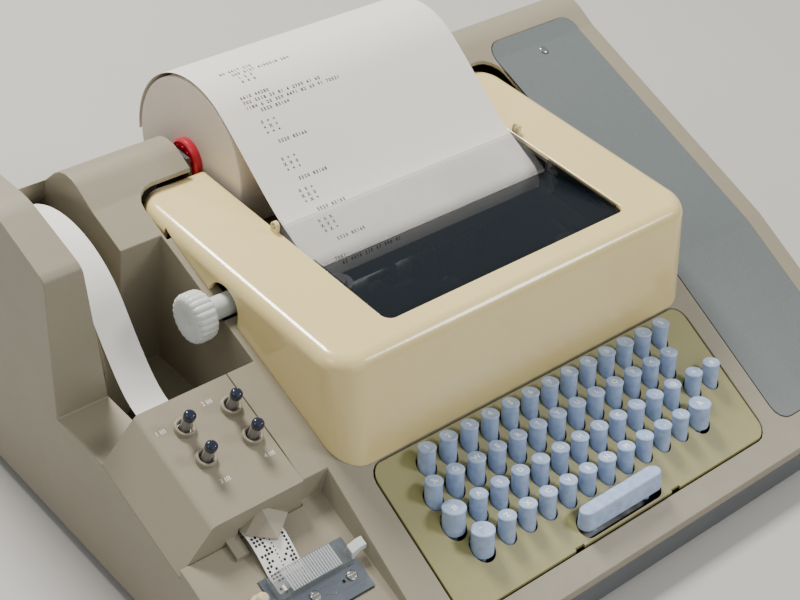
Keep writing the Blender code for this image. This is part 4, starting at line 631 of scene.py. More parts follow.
def lidHull(inset):
    slope = lid["lean"] / (lid["top"] - keyboardZ(lid["front"]))
    low, high = lid["hullLow"], lid["top"] - inset
    front = lid["front"] + inset

    def frontAt(z):
        return front + slope * (z - keyboardZ(lid["front"]))

    left, right, rear = lid["left"] + inset, lid["right"] - inset, lid["rear"] - inset
    hull = bmesh.new()
    rings = [[hull.verts.new(corner) for corner in
              ((left, frontAt(z), z), (right, frontAt(z), z), (right, rear, z), (left, rear, z))]
             for z in (low, high)]
    for ring in rings:
        hull.faces.new(ring)
    bridged(hull, [rings], 4)

    def heights(edge):
        return sorted(corner.co.z for corner in edge.verts)

    upright = [edge for edge in hull.edges if heights(edge)[1] - heights(edge)[0] > 1]
    bmesh.ops.bevel(hull, geom=upright, offset=lid["cornerRadius"] - inset, segments=12,
                    profile=0.5, affect="EDGES")
    top = [edge for edge in hull.edges if heights(edge)[0] > high - 0.01]
    bmesh.ops.bevel(hull, geom=top, offset=lid["topRadius"] - inset, segments=8, profile=0.5,
                    affect="EDGES")
    return hull


def hingeOutline():
    low = lid["top"] - lid["wall"] / 2
    return ([(lid["hingeY"] + lid["bossRadius"], low)]
            + arc((lid["hingeY"], lid["hingeZ"]), lid["bossRadius"], 0, math.pi, 20)
            + [(lid["hingeY"] - lid["bossRadius"], low)])


def makeLid():
    shell = less(lidHull(0), lidHull(lid["wall"]))
    kink, rest, behind = lid["kinkY"], lid["rest"], lid["behind"]
    seat = roundCorners([(-behind, keyboardZ(-behind)), (kink, deckZ(kink)), (rest, deckZ(rest))],
                        lid["kinkRadius"], closed=False)
    seat = [(y, z + body["gap"]) for y, z in seat]
    below = [(-behind, 0)] + seat + [(rest, lid["foot"]), (behind, lid["foot"]), (behind, 0)]
    opening = prism("z", roundCorners(
        rectangle(lid["openLeft"], lid["openRight"], lid["openFront"], reach),
        [lid["openRadius"], lid["openRadius"], 0, 0]), 100, reach)
    y, z, radius = lid["shaftY"], lid["shaftZ"], lid["notch"]
    notch = prism("x", [(y + radius, 80)] + arc((y, z), radius, 0, math.pi, 20)
                  + [(y - radius, 80)], lid["left"] - 10, lid["left"] + 10)
    shell = less(shell, prism("x", below, -reach, reach), opening, notch)
    deep = lid["top"] - lid["shelfDrop"] - lid["wall"]
    span = rectangle(lid["openLeft"] + 2, lid["openRight"] - 2, lid["openFront"] - lid["wall"],
                     lid["openFront"] + 0.2)
    web = prism("z", span, deep, lid["top"] - lid["wall"] / 2)
    shelf = box(lid["openLeft"] + 2, lid["openRight"] - 2, lid["openFront"] - lid["wall"],
                lid["openFront"] + lid["shelf"], deep, deep + lid["wall"])
    bosses = [prism("x", hingeOutline(), *sorted((edge + way * lid["bossGap"],
                    edge + way * (lid["bossGap"] + lid["bossWidth"]))))
              for edge, way in ((lid["openLeft"], -1), (lid["openRight"], 1))]
    shell = softened(shell, lid["rim"], 3, 42, lambda edge: min(
        corner.co.z for corner in edge.verts) > lid["top"] - 0.01, clamp=False)
    shell = plus(shell, web, shelf, *bosses)
    bore = lathe([(lid["pin"] + 0.3, lid["boreLeft"]), (lid["pin"] + 0.3, lid["boreRight"])], 20)
    standIn("printer_lid", less(shell, acrossAt(bore, lid["hingeY"], lid["hingeZ"])), "cream")


makeLid()
print("lid made")

window = {"thick": 2.2, "gap": 0.5, "tearY": 2, "tearZ": 160, "stripY": 37, "stripZ": 176,
          "low": 168.5, "step": 6, "cornerRadius": 6, "lug": 3, "tearRib": 1.2, "cheek": 1.6,
          "bend": 14, "lugY": 28, "lugLow": 170.6, "lugHigh": 173.3, "pinReach": 5.5}


def sheet(path, thick, low, high):
    return prism("x", path + list(reversed(offsetPath(path, thick))), low, high)


def makeWindow():
    left, right = lid["openLeft"] + window["gap"], lid["openRight"] - window["gap"]
    front = lid["openFront"] + window["gap"]
    bend = (front + window["step"] - window["gap"], window["low"])
    tear = (window["tearY"], window["tearZ"])
    top = roundCorners([(front, window["low"]), bend, tear], window["bend"], closed=False)
    plate = sheet(top, window["thick"], left, right)
    plan = prism("z", roundCorners(rectangle(left, right, front, window["tearY"] + 5),
                                   [window["cornerRadius"]] * 2 + [0, 0]), 100, 200)
    bank = [(bend[0] + 2, window["low"]), (tear[0] - 1, tear[1] + 0.3),
            (tear[0] - 1, lid["top"] - 1), (bend[0] + 2, lid["top"] - 1)]
    cheeks = [prism("x", bank, low, low + window["cheek"])
              for low in (left, right - window["cheek"])]
    plate = softened(plus(common(plate, plan), *cheeks), 0.3, 2)
    standIn("window_lid", plate, "window", name="windowPlate")

    line = [(window["tearY"] + 0.1, window["tearZ"]), (window["stripY"], window["stripZ"])]
    strip = sheet(line, window["thick"], left, right)
    rib = prism("x", [(tear[0] - 0.6, tear[1] + 0.2), (tear[0] + 1.6, tear[1] + 0.9),
                      (tear[0] + 0.4, tear[1] + window["tearRib"] + 0.9),
                      (tear[0] - 0.6, tear[1] + window["tearRib"])], left + 2, right - 2)
    lugs = []
    y, z, pin = lid["hingeY"], lid["hingeZ"], lid["pin"]
    for low in (left, right - window["lug"]):
        outline = roundCorners([(window["lugY"], window["lugLow"]), (y + pin, z - pin * 1.4),
                                (y + pin, z + pin * 1.4), (window["lugY"], window["lugHigh"])],
                               [0, 2, 2, 0])
        lugs.append(prism("x", outline, low, low + window["lug"]))
    out, into = window["pinReach"], window["lug"]
    pins = [acrossAt(lathe([(pin, low), (pin, high)], 20), y, z)
            for low, high in ((left - out, left + into), (right - into, right + out))]
    strip = softened(plus(strip, rib, *lugs, *pins), 0.3, 2, 50)
    addPiece("windowStrip", strip, "strip", "window")


makeWindow()
print("window made")

paper = {"left": -101, "width": 216, "thick": 0.3, "platenY": 20, "platenZ": 146,
         "platenRadius": 16.5, "rollY": 146, "rollZ": 168, "rollRadius": 60, "touch": 118,
         "end": -8, "printSize": 3.5, "printBold": 0.13, "pitch": 2.54, "lineStep": 4.23,
         "margin": 22, "firstLine": 12, "bore": 13.3}
rows = [
    "80 4417 210", "   250 6137 4190518 204", "    1 2 3", "    6 6 6", "", "",
    "6610 44280", "702 5518 33 81 4 2709 41 60", "1184 6 20 359 4471 82 63 91 70521",
    "    5520 83164", "", "  0 + +", "  + X +", "  + + +", "", "    5520 83166", "", "",
    "  0 + +", "  X X 0", "  + + +", "", "    5520 83168", "", "  0 0 +", "  X X 0", "  + X +", "",
    "    5520 83163", "", "  0 0 X", "  X X 0", "  0 X +", "", "    5520 83169", "", "", "7081",
    "  62 4410 215 37 990 41",
]


# The web's line round the platen and over the roll, and where it lands there
def paperPath(fine=4):
    slope = math.atan2(window["stripZ"] - window["tearZ"], window["stripY"] - window["tearY"])
    platen, roll = (paper["platenY"], paper["platenZ"]), (paper["rollY"], paper["rollZ"])
    small = paper["platenRadius"] + 0.3 + paper["thick"]
    large = paper["rollRadius"] + 0.9 + paper["thick"]
    apart = math.hypot(roll[0] - platen[0], roll[1] - platen[1])
    heading = math.atan2(roll[1] - platen[1], roll[0] - platen[0])
    feedAngle = heading - math.asin((large - small) / apart) - math.pi / 2
    under = arc(platen, small, feedAngle + math.tau, slope + math.pi / 2, 16 * fine)
    start = under[-1]
    leaveY = window["stripY"] + lid["wall"]
    strip = (leaveY, start[1] + (leaveY - start[0]) * math.tan(slope))
    touch = math.radians(paper["touch"])
    outer = large + paper["thick"] + 1.2
    land = (roll[0] + outer * math.cos(touch), roll[1] + outer * math.sin(touch))
    lead = paper["rollRadius"] / 3
    sweep = bezier([strip, (strip[0] + lead * math.cos(slope), strip[1] + lead * math.sin(slope)),
                    (land[0] - lead * math.sin(touch), land[1] + lead * math.cos(touch)), land],
                   8 * fine)
    over = arc(roll, outer, touch, math.radians(paper["end"]), 16 * fine)
    first = (roll[0] + large * math.cos(feedAngle), roll[1] + large * math.sin(feedAngle))
    return [first] + under + sweep + over[1:], len(under) + len(sweep) + 1


def band(path, thick, low, high):
    return prism("x", offsetPath(path, thick / 2) + list(reversed(offsetPath(path, -thick / 2))),
                 low, high)


def glyphs(text, size, thick=0.04, bold=0.0):
    data = bpy.data.curves.new("marks", "FONT")
    data.body, data.size, data.extrude, data.resolution_u = text, size, thick, 2
    data.offset = bold
    data.align_x, data.align_y = "CENTER", "CENTER"
    item = bpy.data.objects.new("marks", data)
    collection.objects.link(item)
    solid = evaluatedSolid(item)
    bpy.data.objects.remove(item)
    bpy.data.curves.remove(data)
    bmesh.ops.remove_doubles(solid, verts=solid.verts, dist=0.001)
    return solid


# Walks back down the web from a place on it; returns a point and the way along it
def pathPoint(path, start, distance):
    index = start
    while distance > 0 and index > 0:
        here, before = Vector(path[index]), Vector(path[index - 1])
        length = (here - before).length
        if length > distance:
            return here.lerp(before, distance / length), (here - before).normalized()
        distance -= length
        index -= 1
    return Vector(path[index]), (Vector(path[index + 1]) - Vector(path[index])).normalized()


# A roll along x, with one finish on its ends and another on its outside
def woundRoll(node, size, soft, steps, centre, side, skin):
    inner, outer, low, high = size
    ring = lathe(roundCorners([(inner, low), (outer, low), (outer, high), (inner, high)],
                              [0, soft, soft, 0], steps=steps), 128, loop=True)
    for face in ring.faces:
        face.material_index = 0 if abs(face.normal.z) > 0.6 else 1
    roll = standIn(node, acrossAt(ring, *centre), side)
    roll.data.materials.append(finish[skin])


def makePaper():
    path, landing = paperPath()
    low, high = paper["left"], paper["left"] + paper["width"]
    standIn("paper_web", band(path, paper["thick"], low, high), "paper", 60)
    letters, marks, first = {}, [], landing + paper["firstLine"]
    for line, text in enumerate(rows):
        point, along = pathPoint(path, first, line * paper["lineStep"])
        normal = Vector((-along.y, along.x))
        point = point + normal * (paper["thick"] / 2)
        for column, letter in enumerate(text):
            if letter == " ":
                continue
            if letter not in letters:
                shape = glyphs(letter, paper["printSize"], 0.05, paper["printBold"])
                letters[letter] = bpy.data.meshes.new("letter")
                shape.to_mesh(letters[letter])
                shape.free()
            mark = bmesh.new()
            mark.from_mesh(letters[letter])
            x = low + paper["margin"] + column * paper["pitch"]
            turn = Matrix(((1, 0, 0, x), (0, along.x, normal.x, point.x),
                           (0, along.y, normal.y, point.y), (0, 0, 0, 1)))
            bmesh.ops.transform(mark, matrix=turn, verts=mark.verts)
            marks.append(mark)
    addPiece("paperPrints", together(*marks), "ink", "machine")
    woundRoll("paper_roll", (paper["bore"], paper["rollRadius"], low, high), 1.2, 3,
              (paper["rollY"], paper["rollZ"]), "rollSide", "paper")


makePaper()
print("paper made")

spindle = {"shaft": 4, "core": 13, "flange": 16, "flangeWidth": 6, "left": -119, "right": 130,
           "ribs": 12}


# Geometry Nodes trees that repeat a shape: in a row, in a ring, along a path
def treeStart(name, sockets):
    tree = bpy.data.node_groups.new(name, "GeometryNodeTree")
    tree.interface.new_socket("Geometry", in_out="OUTPUT", socket_type="NodeSocketGeometry")
    for label, kind, value in sockets:
        item = tree.interface.new_socket(label, in_out="INPUT", socket_type="NodeSocket" + kind)
        if value is not None:
            item.default_value = value
    enter = tree.nodes.new("NodeGroupInput")
    return {label: Wire(tree, enter.outputs[label]) for label, kind, value in sockets}


def copiesOn(given, points, **more):
    shape = points.add("GeometryNodeObjectInfo", None, {"Object": given["Copy"]}, "Geometry")
    return points.add("GeometryNodeInstanceOnPoints", None,
                      {"Points": points, "Instance": shape, **more})


def treeEnd(given, instances):
    solid = instances.add("GeometryNodeRealizeInstances", None, {"Geometry": instances})
    solid = solid.add("GeometryNodeSetMaterial", None,
                      {"Geometry": solid, "Material": given["Finish"]})
    leave = solid.tree.nodes.new("NodeGroupOutput")
    solid.tree.links.new(solid.socket, leave.inputs["Geometry"])
    return solid.tree


copySockets = [("Copy", "Object", None), ("Finish", "Material", None), ("Count", "Int", 5)]


def rowTree():
    given = treeStart("rowOfCopies", copySockets + [("Start", "Vector", (0, 0, 0)),
                                                    ("Step", "Vector", (1, 0, 0))])
    line = given["Count"].add("GeometryNodeMeshLine", {"mode": "OFFSET"},
                              {"Count": given["Count"], "Start Location": given["Start"],
                               "Offset": given["Step"]})
    return treeEnd(given, copiesOn(given, line))


def ringTree():
    given = treeStart("ringOfCopies", copySockets + [("Radius", "Float", 10.0)])
    start = given["Count"]
    ring = start.add("GeometryNodeMeshCircle", None,
                     {"Vertices": given["Count"], "Radius": given["Radius"]})
    turn = start.add("GeometryNodeInputIndex") * math.tau / given["Count"]
    spin = start.add("ShaderNodeCombineXYZ", None, {"Z": turn})
    return treeEnd(given, copiesOn(given, ring, Rotation=spin))


def trackTree():
    given = treeStart("holesAlongPath", copySockets[:2] + [
        ("Path", "Object", None), ("Pitch", "Float", 2.54), ("Across", "Vector", (0, 0, 0)),
        ("Share", "Float", 0.5), ("Seed", "Int", 1)])
    start = given["Pitch"]
    line = start.add("GeometryNodeObjectInfo", None, {"Object": given["Path"]}, "Geometry")
    points = start.add("GeometryNodeCurveToPoints", {"mode": "LENGTH"},
                       {"Curve": line, "Length": given["Pitch"]})
    tangent = Wire(points.tree, points.socket.node.outputs["Tangent"])
    turn = start.add("FunctionNodeAlignRotationToVector", {"axis": "Y", "pivot_axis": "X"},
                     {"Vector": tangent})
    punched = start.add("FunctionNodeRandomValue", {"data_type": "BOOLEAN"},
                        {"Probability": given["Share"], "Seed": given["Seed"]}, 3)
    made = copiesOn(given, points, Rotation=turn, Selection=punched)
    made = start.add("GeometryNodeTranslateInstances", None,
                     {"Instances": made, "Translation": given["Across"], "Local Space": False})
    return treeEnd(given, made)


trees = {"row": rowTree(), "ring": ringTree(), "track": trackTree()}


def grown(tree, look, shape, **values):
    copy = looseObject("copy", shape)
    holder = looseObject("grower", bmesh.new())
    modifier = holder.modifiers.new("grow", "NODES")
    modifier.node_group = trees[tree]
    names = {item.name: item.identifier for item in trees[tree].interface.items_tree
             if item.in_out == "INPUT"}
    for name, value in {"Copy": copy, "Finish": finish[look], **values}.items():
        modifier[names[name]] = value
    solid = evaluatedSolid(holder)
    for item in (copy, holder):
        bpy.data.objects.remove(item)
    return solid


def makeSpindle():
    low, high = paper["left"], paper["left"] + paper["width"]
    flange, core, shaft = spindle["flange"], spindle["core"], spindle["shaft"]
    left, right = low - 0.3 - spindle["flangeWidth"], high + 0.3 + lid["wall"]
    profile = softProfile([
        (0, spindle["left"]), (shaft, spindle["left"]), (shaft, left + 2), (shaft + 3, left + 2),
        (shaft + 4, left), (flange - 1.5, left), (flange, left + 1.5), (flange, low - 0.3),
        (core, low - 0.3), (core, high + 0.3), (flange, high + 0.3), (flange, right - 1),
        (flange - 1, right), (shaft + 2, right), (shaft, right + 1), (shaft, spindle["right"]),
        (0, spindle["right"])], 0.5, 2)
    turned = lathe(profile, 64)
    ribs = grown("ring", "red", box(-1, 1, -0.8, 0.8, left - 1.0, left + 2.0),
                 Count=spindle["ribs"], Radius=flange - 5.0)
    whole = acrossAt(together(turned, ribs), paper["rollY"], paper["rollZ"])
    standIn("roll_spindle", whole, "red")


makeSpindle()

platen = {"axle": 4, "left": -104, "right": 118, "axleRight": 135, "knobFace": -194,
          "knobWidth": 16, "knobRadius": 17.5, "flutes": 22, "fluteDepth": 0.55, "sleeve": 8,
          "sleeveEnd": -150}


def makePlaten():
    y, z = paper["platenY"], paper["platenZ"]
    radius, axle = paper["platenRadius"], platen["axle"]
    profile = softProfile([(0, platen["sleeveEnd"] + 0.3), (axle, platen["sleeveEnd"] + 0.3),
                           (axle, platen["left"]), (radius, platen["left"]),
                           (radius, platen["right"]), (axle, platen["right"]),
                           (axle, platen["axleRight"]), (0, platen["axleRight"])], 0.8, 3)
    roller = lathe(profile, 72)
    for face in roller.faces:
        face.material_index = int(max(corner.co.xy.length for corner in face.verts) < axle + 0.2)
    roller = standIn("platen", acrossAt(roller, y, z), "rubber", name="platenRoller")
    roller.data.materials.append(finish["steel"])
    face, rim, wide = platen["knobFace"], platen["knobRadius"], platen["knobWidth"]
    steps = platen["flutes"] * 8
    solid, rings = bmesh.new(), []
    grip = [(0, face + 1.6), (4.2, face + 1.6), (5.2, face + 0.4), (rim * 0.78, face),
            (rim * 0.93, face + 1.0), (rim, face + 3.4), (rim, face + wide - 4),
            (rim * 0.94, face + wide - 1.4), (rim * 0.80, face + wide), (0, face + wide)]
    for radius, height in grip:
        if not radius:
            rings.append([solid.verts.new((0, 0, height))])
            continue
        ring = []
        for step in range(steps):
            turn = math.tau * step / steps
            depth = platen["fluteDepth"] if radius > rim * 0.9 else 0
            ripple = 1 - abs(math.cos(turn * platen["flutes"] / 2)) ** 0.6
            here = radius - depth * 2.2 * ripple
            ring.append(solid.verts.new((here * math.cos(turn), here * math.sin(turn), height)))
        rings.append(ring)
    bridged(solid, zip(rings, rings[1:]), steps)
    sleeve = lathe(softProfile([(0, face + wide - 1), (platen["sleeve"], face + wide - 1),
                                (platen["sleeve"], platen["sleeveEnd"]), (0, platen["sleeveEnd"])],
                               0.6, 3), 64)
    standIn("platen_knob", acrossAt(together(solid, sleeve), y, z), "milky", 50)
    dressNode("platen_gear", "nylon", 0.3)


makePlaten()
print("platen and knob made")


# Tape: roll on its hub, the blank run to the punch, the punched run to the reader
tape = {"left": -240.7, "right": -215.3, "thick": 0.3, "rollY": 122, "rollZ": 92, "roll": 80,
        "core": 25, "hub": 24, "pin": 5, "pinLeft": -246.7, "pinRight": -201.8, "turn": 139,
        "entryY": 4, "entryZ": 96, "frontY": -105, "exitZ": 84, "meetY": -60, "landY": -135.5,
        "endY": -147, "lead": 36, "bend": 18, "rest": 1.65, "pitch": 2.54, "hole": 0.95,
        "feed": 0.55, "seed": 31}
tracks = [(-10.16, 0.45), (-7.62, 0.62), (-5.08, 0.6), (-2.54, 0.4), (2.9, 0.5), (5.4, 0.25),
          (7.9, 0.3), (10.3, 0.85)]


def tapeSlope(y):
    share = (tape["entryY"] - y) / (tape["entryY"] - tape["frontY"])
    return tape["entryZ"] + (tape["exitZ"] - tape["entryZ"]) * share


def makeTape():
    roll, entry = (tape["rollY"], tape["rollZ"]), (tape["entryY"], tape["entryZ"])
    lead, outer = tape["lead"], tape["roll"] + 0.6 + tape["thick"] / 2
    low, high = tape["left"], tape["right"]
    turn = math.radians(tape["turn"])
    start = (roll[0] + outer * math.cos(turn), roll[1] + outer * math.sin(turn))
    run = (tape["exitZ"] - tape["entryZ"]) / (tape["entryY"] - tape["frontY"])
    fall = bezier([start, (start[0] - math.sin(turn) * lead, start[1] + math.cos(turn) * lead),
                   (entry[0] + lead / 2, entry[1] - run * lead / 2 + 0.3), entry], 32)
    meet = tapeSlope(tape["meetY"])
    path = arc(roll, outer, 0, turn, 72)[:-1] + fall + [(tape["meetY"] + 0.3, meet)]
    standIn("blank_tape", band(path, tape["thick"], low, high), "tape", 60)

    outY, lead = tape["frontY"] - tape["bend"] / 4, tape["bend"] / 2
    land = (tape["landY"], readerZ(tape["landY"]) + tape["rest"])
    droop = bezier([(outY, tapeSlope(outY)), (outY - lead, tapeSlope(outY - lead)),
                    (land[0] + lead / 2, land[1] + body["readerSlope"] * lead), land], 24)
    path = ([(tape["meetY"] - 0.3, meet)] + droop
            + [(tape["endY"], readerZ(tape["endY"]) + tape["rest"])])
    standIn("punched_tape", band(path, tape["thick"], low, high), "tape", 60)

    line = bpy.data.curves.new("track", "CURVE")
    line.dimensions = "3D"
    spline = line.splines.new("POLY")
    spline.points.add(len(path) - 1)
    for point, (y, z) in zip(spline.points, path):
        point.co = (0, y, z + tape["thick"] / 2, 1)
    track = bpy.data.objects.new("track", line)
    collection.objects.link(track)
    middle = (low + high) / 2
    # The holes are thin near-black discs laid on the tape's top, not cut through it: painted shade
    holes = []
    for index, (across, share) in enumerate(tracks + [(0.2, 1.0)]):
        radius = tape["feed"] if index == len(tracks) else tape["hole"]
        holes.append(grown("track", "hole", rod(radius, -0.05, 0.05, 16), Path=track,
                           Share=share, Seed=tape["seed"] + index, Pitch=tape["pitch"],
                           Across=(middle + across, 0.0, 0.0)))
    bpy.data.objects.remove(track)
    addPiece("tapeHoles", together(*holes), "hole", "machine")

    woundRoll("tape_roll", (tape["core"], tape["roll"], low, high), 0.5, 2, roll, "tapeSide",
              "tape")
    hub = lathe(softProfile([(0, tape["pinLeft"]), (tape["pin"], tape["pinLeft"]),
                             (tape["pin"], low - 0.3), (9, low - 0.3), (10, low + 3),
                             (tape["hub"] - 4, low + 3), (tape["hub"] - 3, low - 0.3),
                             (tape["hub"], low - 0.3), (tape["hub"], high + 0.3),
                             (tape["hub"] - 3, high + 0.3), (tape["hub"] - 4, high - 3),
                             (10, high - 3), (9, high + 0.3), (tape["pin"], high + 0.3),
                             (tape["pin"], tape["pinRight"]), (0, tape["pinRight"])], 0.5, 2), 64)
    standIn("tape_hub", acrossAt(hub, *roll), "black")


makeTape()
print("tape made")

# Reader: steel plate with two screws, clear lid, latch and lever
reader = {"left": -248, "right": -182, "front": -169.5, "rear": -134, "rim": 1.2, "thick": 2,
          "lidLeft": -244.5, "lidRight": -186.5, "lidFront": -153, "lidRear": -137, "height": 6,
          "ribs": 20, "rib": 0.75, "ribStep": 1.95, "ribMargin": 11, "clearance": 1.5,
          "latchY": -147, "latchLong": 12.2, "latchWide": 6, "latchHigh": 4, "leverX": -257,
          "leverY": -146, "lever": 6, "leverLong": 12, "slotX": -228, "slotHalf": 6.35,
          "pilot": 1.2, "pilotX": -198.9, "pilotY": -158.1, "shank": 1.9, "screwY": -157.5,
          "screws": {"left": -221.3, "right": -191.9}, "deep": 8,
          "raised": [(-240, -137.4), (-188, -137.4), (-188, -152.6), (-199, -156.6),
                     (-209, -163), (-222, -156), (-240, -153.5)]}
readerUp = Vector((0, -body["readerSlope"], 1)).normalized()


def tilted(solid, x, y, lift=0.0):
    return placed(solid, Vector((x, y, readerZ(y))) + readerUp * lift, readerUp)


def screwHead(radius=3.6, height=1.4):
    head = lathe(softProfile([(1.6, -6), (1.6, 0), (radius, 0), (radius, height * 0.45),
                              (radius * 0.72, height), (0, height)], 0.35, 3), 40)
    return less(head, box(-radius - 1, radius + 1, -0.45, 0.45, height * 0.45, height + 1))


def makeReader():
    slope, rise = body["readerSlope"], body["readerRise"]
    top = rise + reader["rim"]
    outline = roundCorners(rectangle(reader["left"], reader["right"], reader["front"],
                                     reader["rear"]), 1.5)
    slab = common(prism("y", rectangle(reader["left"], reader["right"], top - reader["thick"], top),
                        reader["front"], reader["rear"], slope), prism("z", outline, 30, 110))
    second = prism("z", roundCorners(reader["raised"], 0.6, steps=3), 30, 110)
    second = common(second, prism("y", rectangle(-245, -185, top - 0.4, top + 0.28),
                                  reader["front"], reader["rear"], slope))
    deep, half = reader["deep"], reader["slotHalf"]
    slot = tilted(box(-half, half, -2, 2, -deep, deep), reader["slotX"], reader["latchY"])
    pilot = tilted(rod(reader["pilot"], -deep, deep, 24), reader["pilotX"], reader["pilotY"])
    shanks = [tilted(rod(reader["shank"], -deep, deep, 24), x, reader["screwY"])
              for x in reader["screws"].values()]
    plate = less(plus(slab, second), slot, pilot, *shanks)
    standIn("reader_plate", softened(plate, 0.15, 2), "readerSteel")
    for side, x in reader["screws"].items():
        head = tilted(screwHead(), x, reader["screwY"], reader["rim"] + 0.3)
        standIn("reader_screw_" + side, head, "chrome")

    base = top + 0.3
    inner, high = base + tape["thick"] + reader["clearance"], base + reader["height"]
    left, right = reader["lidLeft"], reader["lidRight"]
    crown = roundCorners([(left, base), (left + 3, base), (left + 3.3, inner), (right - 3, inner),
                          (right - 3, base), (right, base), (right, high - 1.2), (right - 4, high),
                          (left + 9, high), (left, high - 2.6)],
                         [0, 0, 0, 0, 0, 0, 1.2, 2, 5, 1.6], steps=5)
    lidSolid = prism("y", crown, reader["lidFront"], reader["lidRear"], slope)
    ridge = prism("y", arc((left + reader["ribMargin"], high - 0.1), reader["rib"], 0, math.pi, 10),
                  reader["lidFront"] + 0.7, reader["lidRear"] - 0.7, slope)
    # The ribs take the lighter finish than the lid: a painted highlight along each rib
    ridges = grown("row", "rib", ridge, Count=reader["ribs"], Step=(reader["ribStep"], 0.0, 0.0))
    standIn("reader_lid", softened(lidSolid, 0.3, 2), "clear")
    addPiece("readerLidRibs", ridges, "rib", "reader_cover")
    pad = placed(box(-0.9, 0.9, -1.8, 1.8, 0, 0.35), (left + 6, reader["lidFront"] + 5, 0))
    for corner in pad.verts:
        corner.co.z += high + slope * corner.co.y
    addPiece("readerLidMark", pad, "bodyPrint", "reader_cover")

    root, wide = right + 0.6, reader["latchWide"] / 2
    tip, step = right + reader["latchLong"], reader["latchHigh"]
    base += 0.3
    outline = roundCorners([(root, base), (root + 3, base), (root + 3, base + step / 2),
                            (tip - 5.2, base + step * 0.8), (tip - 5.2, base + step),
                            (tip, base + step), (tip, base + step * 2),
                            (tip - 4.6, base + step * 2), (root, base + step * 1.5)],
                           [0.5, 0.5, 0.8, 0.3, 0.2, 0.5, 0.6, 0.9, 0.6], steps=3)
    latch = prism("y", outline, reader["latchY"] - wide, reader["latchY"] + wide, slope)
    standIn("reader_latch", softened(latch, 0.45), "milky")

    radius, long = reader["lever"], reader["leverLong"]
    stick = lathe(softProfile([(0, 0), (radius, 0), (radius, long * 0.4),
                               (radius * 0.6, long * 0.6), (radius * 0.7, long),
                               (radius * 0.5, long * 1.16), (0, long * 1.2)], 0.9))
    standIn("reader_lever", tilted(stick, reader["leverX"], reader["leverY"], 0.3), "lever")


makeReader()
print("reader made")

# Punch cover with hood, tab and collars; the four buttons with their marks
punch = {"left": -286, "right": -190.8, "front": -105, "rear": -21, "skirt": 29, "shoulder": 24.5,
         "wall": 2.4, "collar": 7, "collarHigh": 3.5, "hole": 4.8, "stem": 3.5, "ball": 4.15,
         "high": 18.5, "seam": 0.9, "hoodX": -224, "hoodReach": 17, "hoodBrow": 5,
         "hoodWide": 34, "hoodHigh": 9, "hoodDrop": 4.4, "tabLeft": -251.5, "tabWide": 9.5,
         "tabReach": 12, "tabZ": 83, "tabFall": 6, "tabThick": 2.6, "slotFront": -145,
         "slotRear": -95, "slotHalf": 3, "markSize": 4.4, "barStep": 1.5}
buttons = {"release_button": (-239, -42), "on_button": (-203, -42),
           "back_space_button": (-239, -65), "off_button": (-203, -65)}
marks = [("1", -257, -38), ("2", -218, -33), ("3", -239, -82), ("4", -203, -80)]
deckUp = Vector((0, -body["deckSlope"], 1)).normalized()


def onDeck(solid, x, y, lift=0.0):
    return placed(solid, Vector((x, y, deckZ(y))) + deckUp * lift, deckUp)


def hullOf(corners):
    solid = bmesh.new()
    verts = [solid.verts.new(corner) for corner in corners]
    bmesh.ops.convex_hull(solid, input=verts)
    bmesh.ops.recalc_face_normals(solid, faces=solid.faces)
    return solid


def makePunchCover():
    left, right, rise = punch["left"], punch["right"] - punch["seam"], body["deckRise"]
    low = rise - punch["skirt"] + 0.3
    shoulder, thick = punch["shoulder"], punch["wall"]
    outline = roundCorners([(left, low), (left + shoulder, rise), (right, rise), (right, low)],
                           [0, shoulder / 4, 0, 0], steps=8)
    shell = prism("y", outline, punch["front"] + 0.3, punch["rear"] - 0.3, body["deckSlope"])
    side = thick * math.hypot(1, shoulder / punch["skirt"])
    inset = [(left + side, low - 3), (left + side, low), (left + shoulder + side / 2, rise - thick),
             (right - thick, rise - thick), (right - thick, low - 3)]
    shell = less(shell, prism("y", inset, punch["front"] + 0.3 + thick, punch["rear"] + 40,
                              body["deckSlope"]))
    back, lowest = punch["front"] + thick, tape["exitZ"] + 1.5
    half, brow = punch["hoodWide"] / 2, punch["front"] - punch["hoodBrow"]
    tip = punch["front"] - punch["hoodReach"]
    corners = [(0, back, lowest + punch["hoodHigh"]), (-half, back, lowest), (half, back, lowest),
               (-half, brow, lowest), (half, brow, lowest), (0, tip, lowest - punch["hoodDrop"]),
               (0, tip, lowest - punch["hoodDrop"] + 1)]
    hood = hullOf([(punch["hoodX"] + x, y, z) for x, y, z in corners])
    near = punch["front"] - punch["tabReach"]
    tab = prism("x", [(near, punch["tabZ"] - punch["tabFall"] - punch["tabThick"]),
                      (back, punch["tabZ"] - punch["tabThick"]), (back, punch["tabZ"]),
                      (near, punch["tabZ"] - punch["tabFall"])],
                punch["tabLeft"], punch["tabLeft"] + punch["tabWide"])
    collars, holes = [], []
    for x, y in buttons.values():
        radius, high = punch["collar"], punch["collarHigh"]
        inner = punch["hole"] - 0.2
        ring = [(inner, 0), (radius + 0.5, 0), (radius, high * 0.4), (radius, high),
                (inner + 0.5, high)]
        ring = lathe(roundCorners(ring, [0, 0, 0.6, 1.1, 0.6], steps=4), loop=True)
        collars.append(onDeck(ring, x, y, 0.02))
        holes.append(onDeck(rod(punch["hole"], -20, 20), x, y))
    slot = box(tape["left"] - 1.5, tape["right"] + 1.5, punch["slotFront"], punch["slotRear"],
               tape["exitZ"] - punch["slotHalf"], tape["exitZ"] + punch["slotHalf"])
    cover = softened(plus(less(shell, slot, *holes), hood, tab), 0.35, 3, 25,
                     lambda edge: edge.calc_length() > 5)
    standIn("punch_cover", cover, "taupe", 18)
    for index, collar in enumerate(collars):
        addPiece("punchCollar%d" % (index + 1), collar, "taupe", "machine")


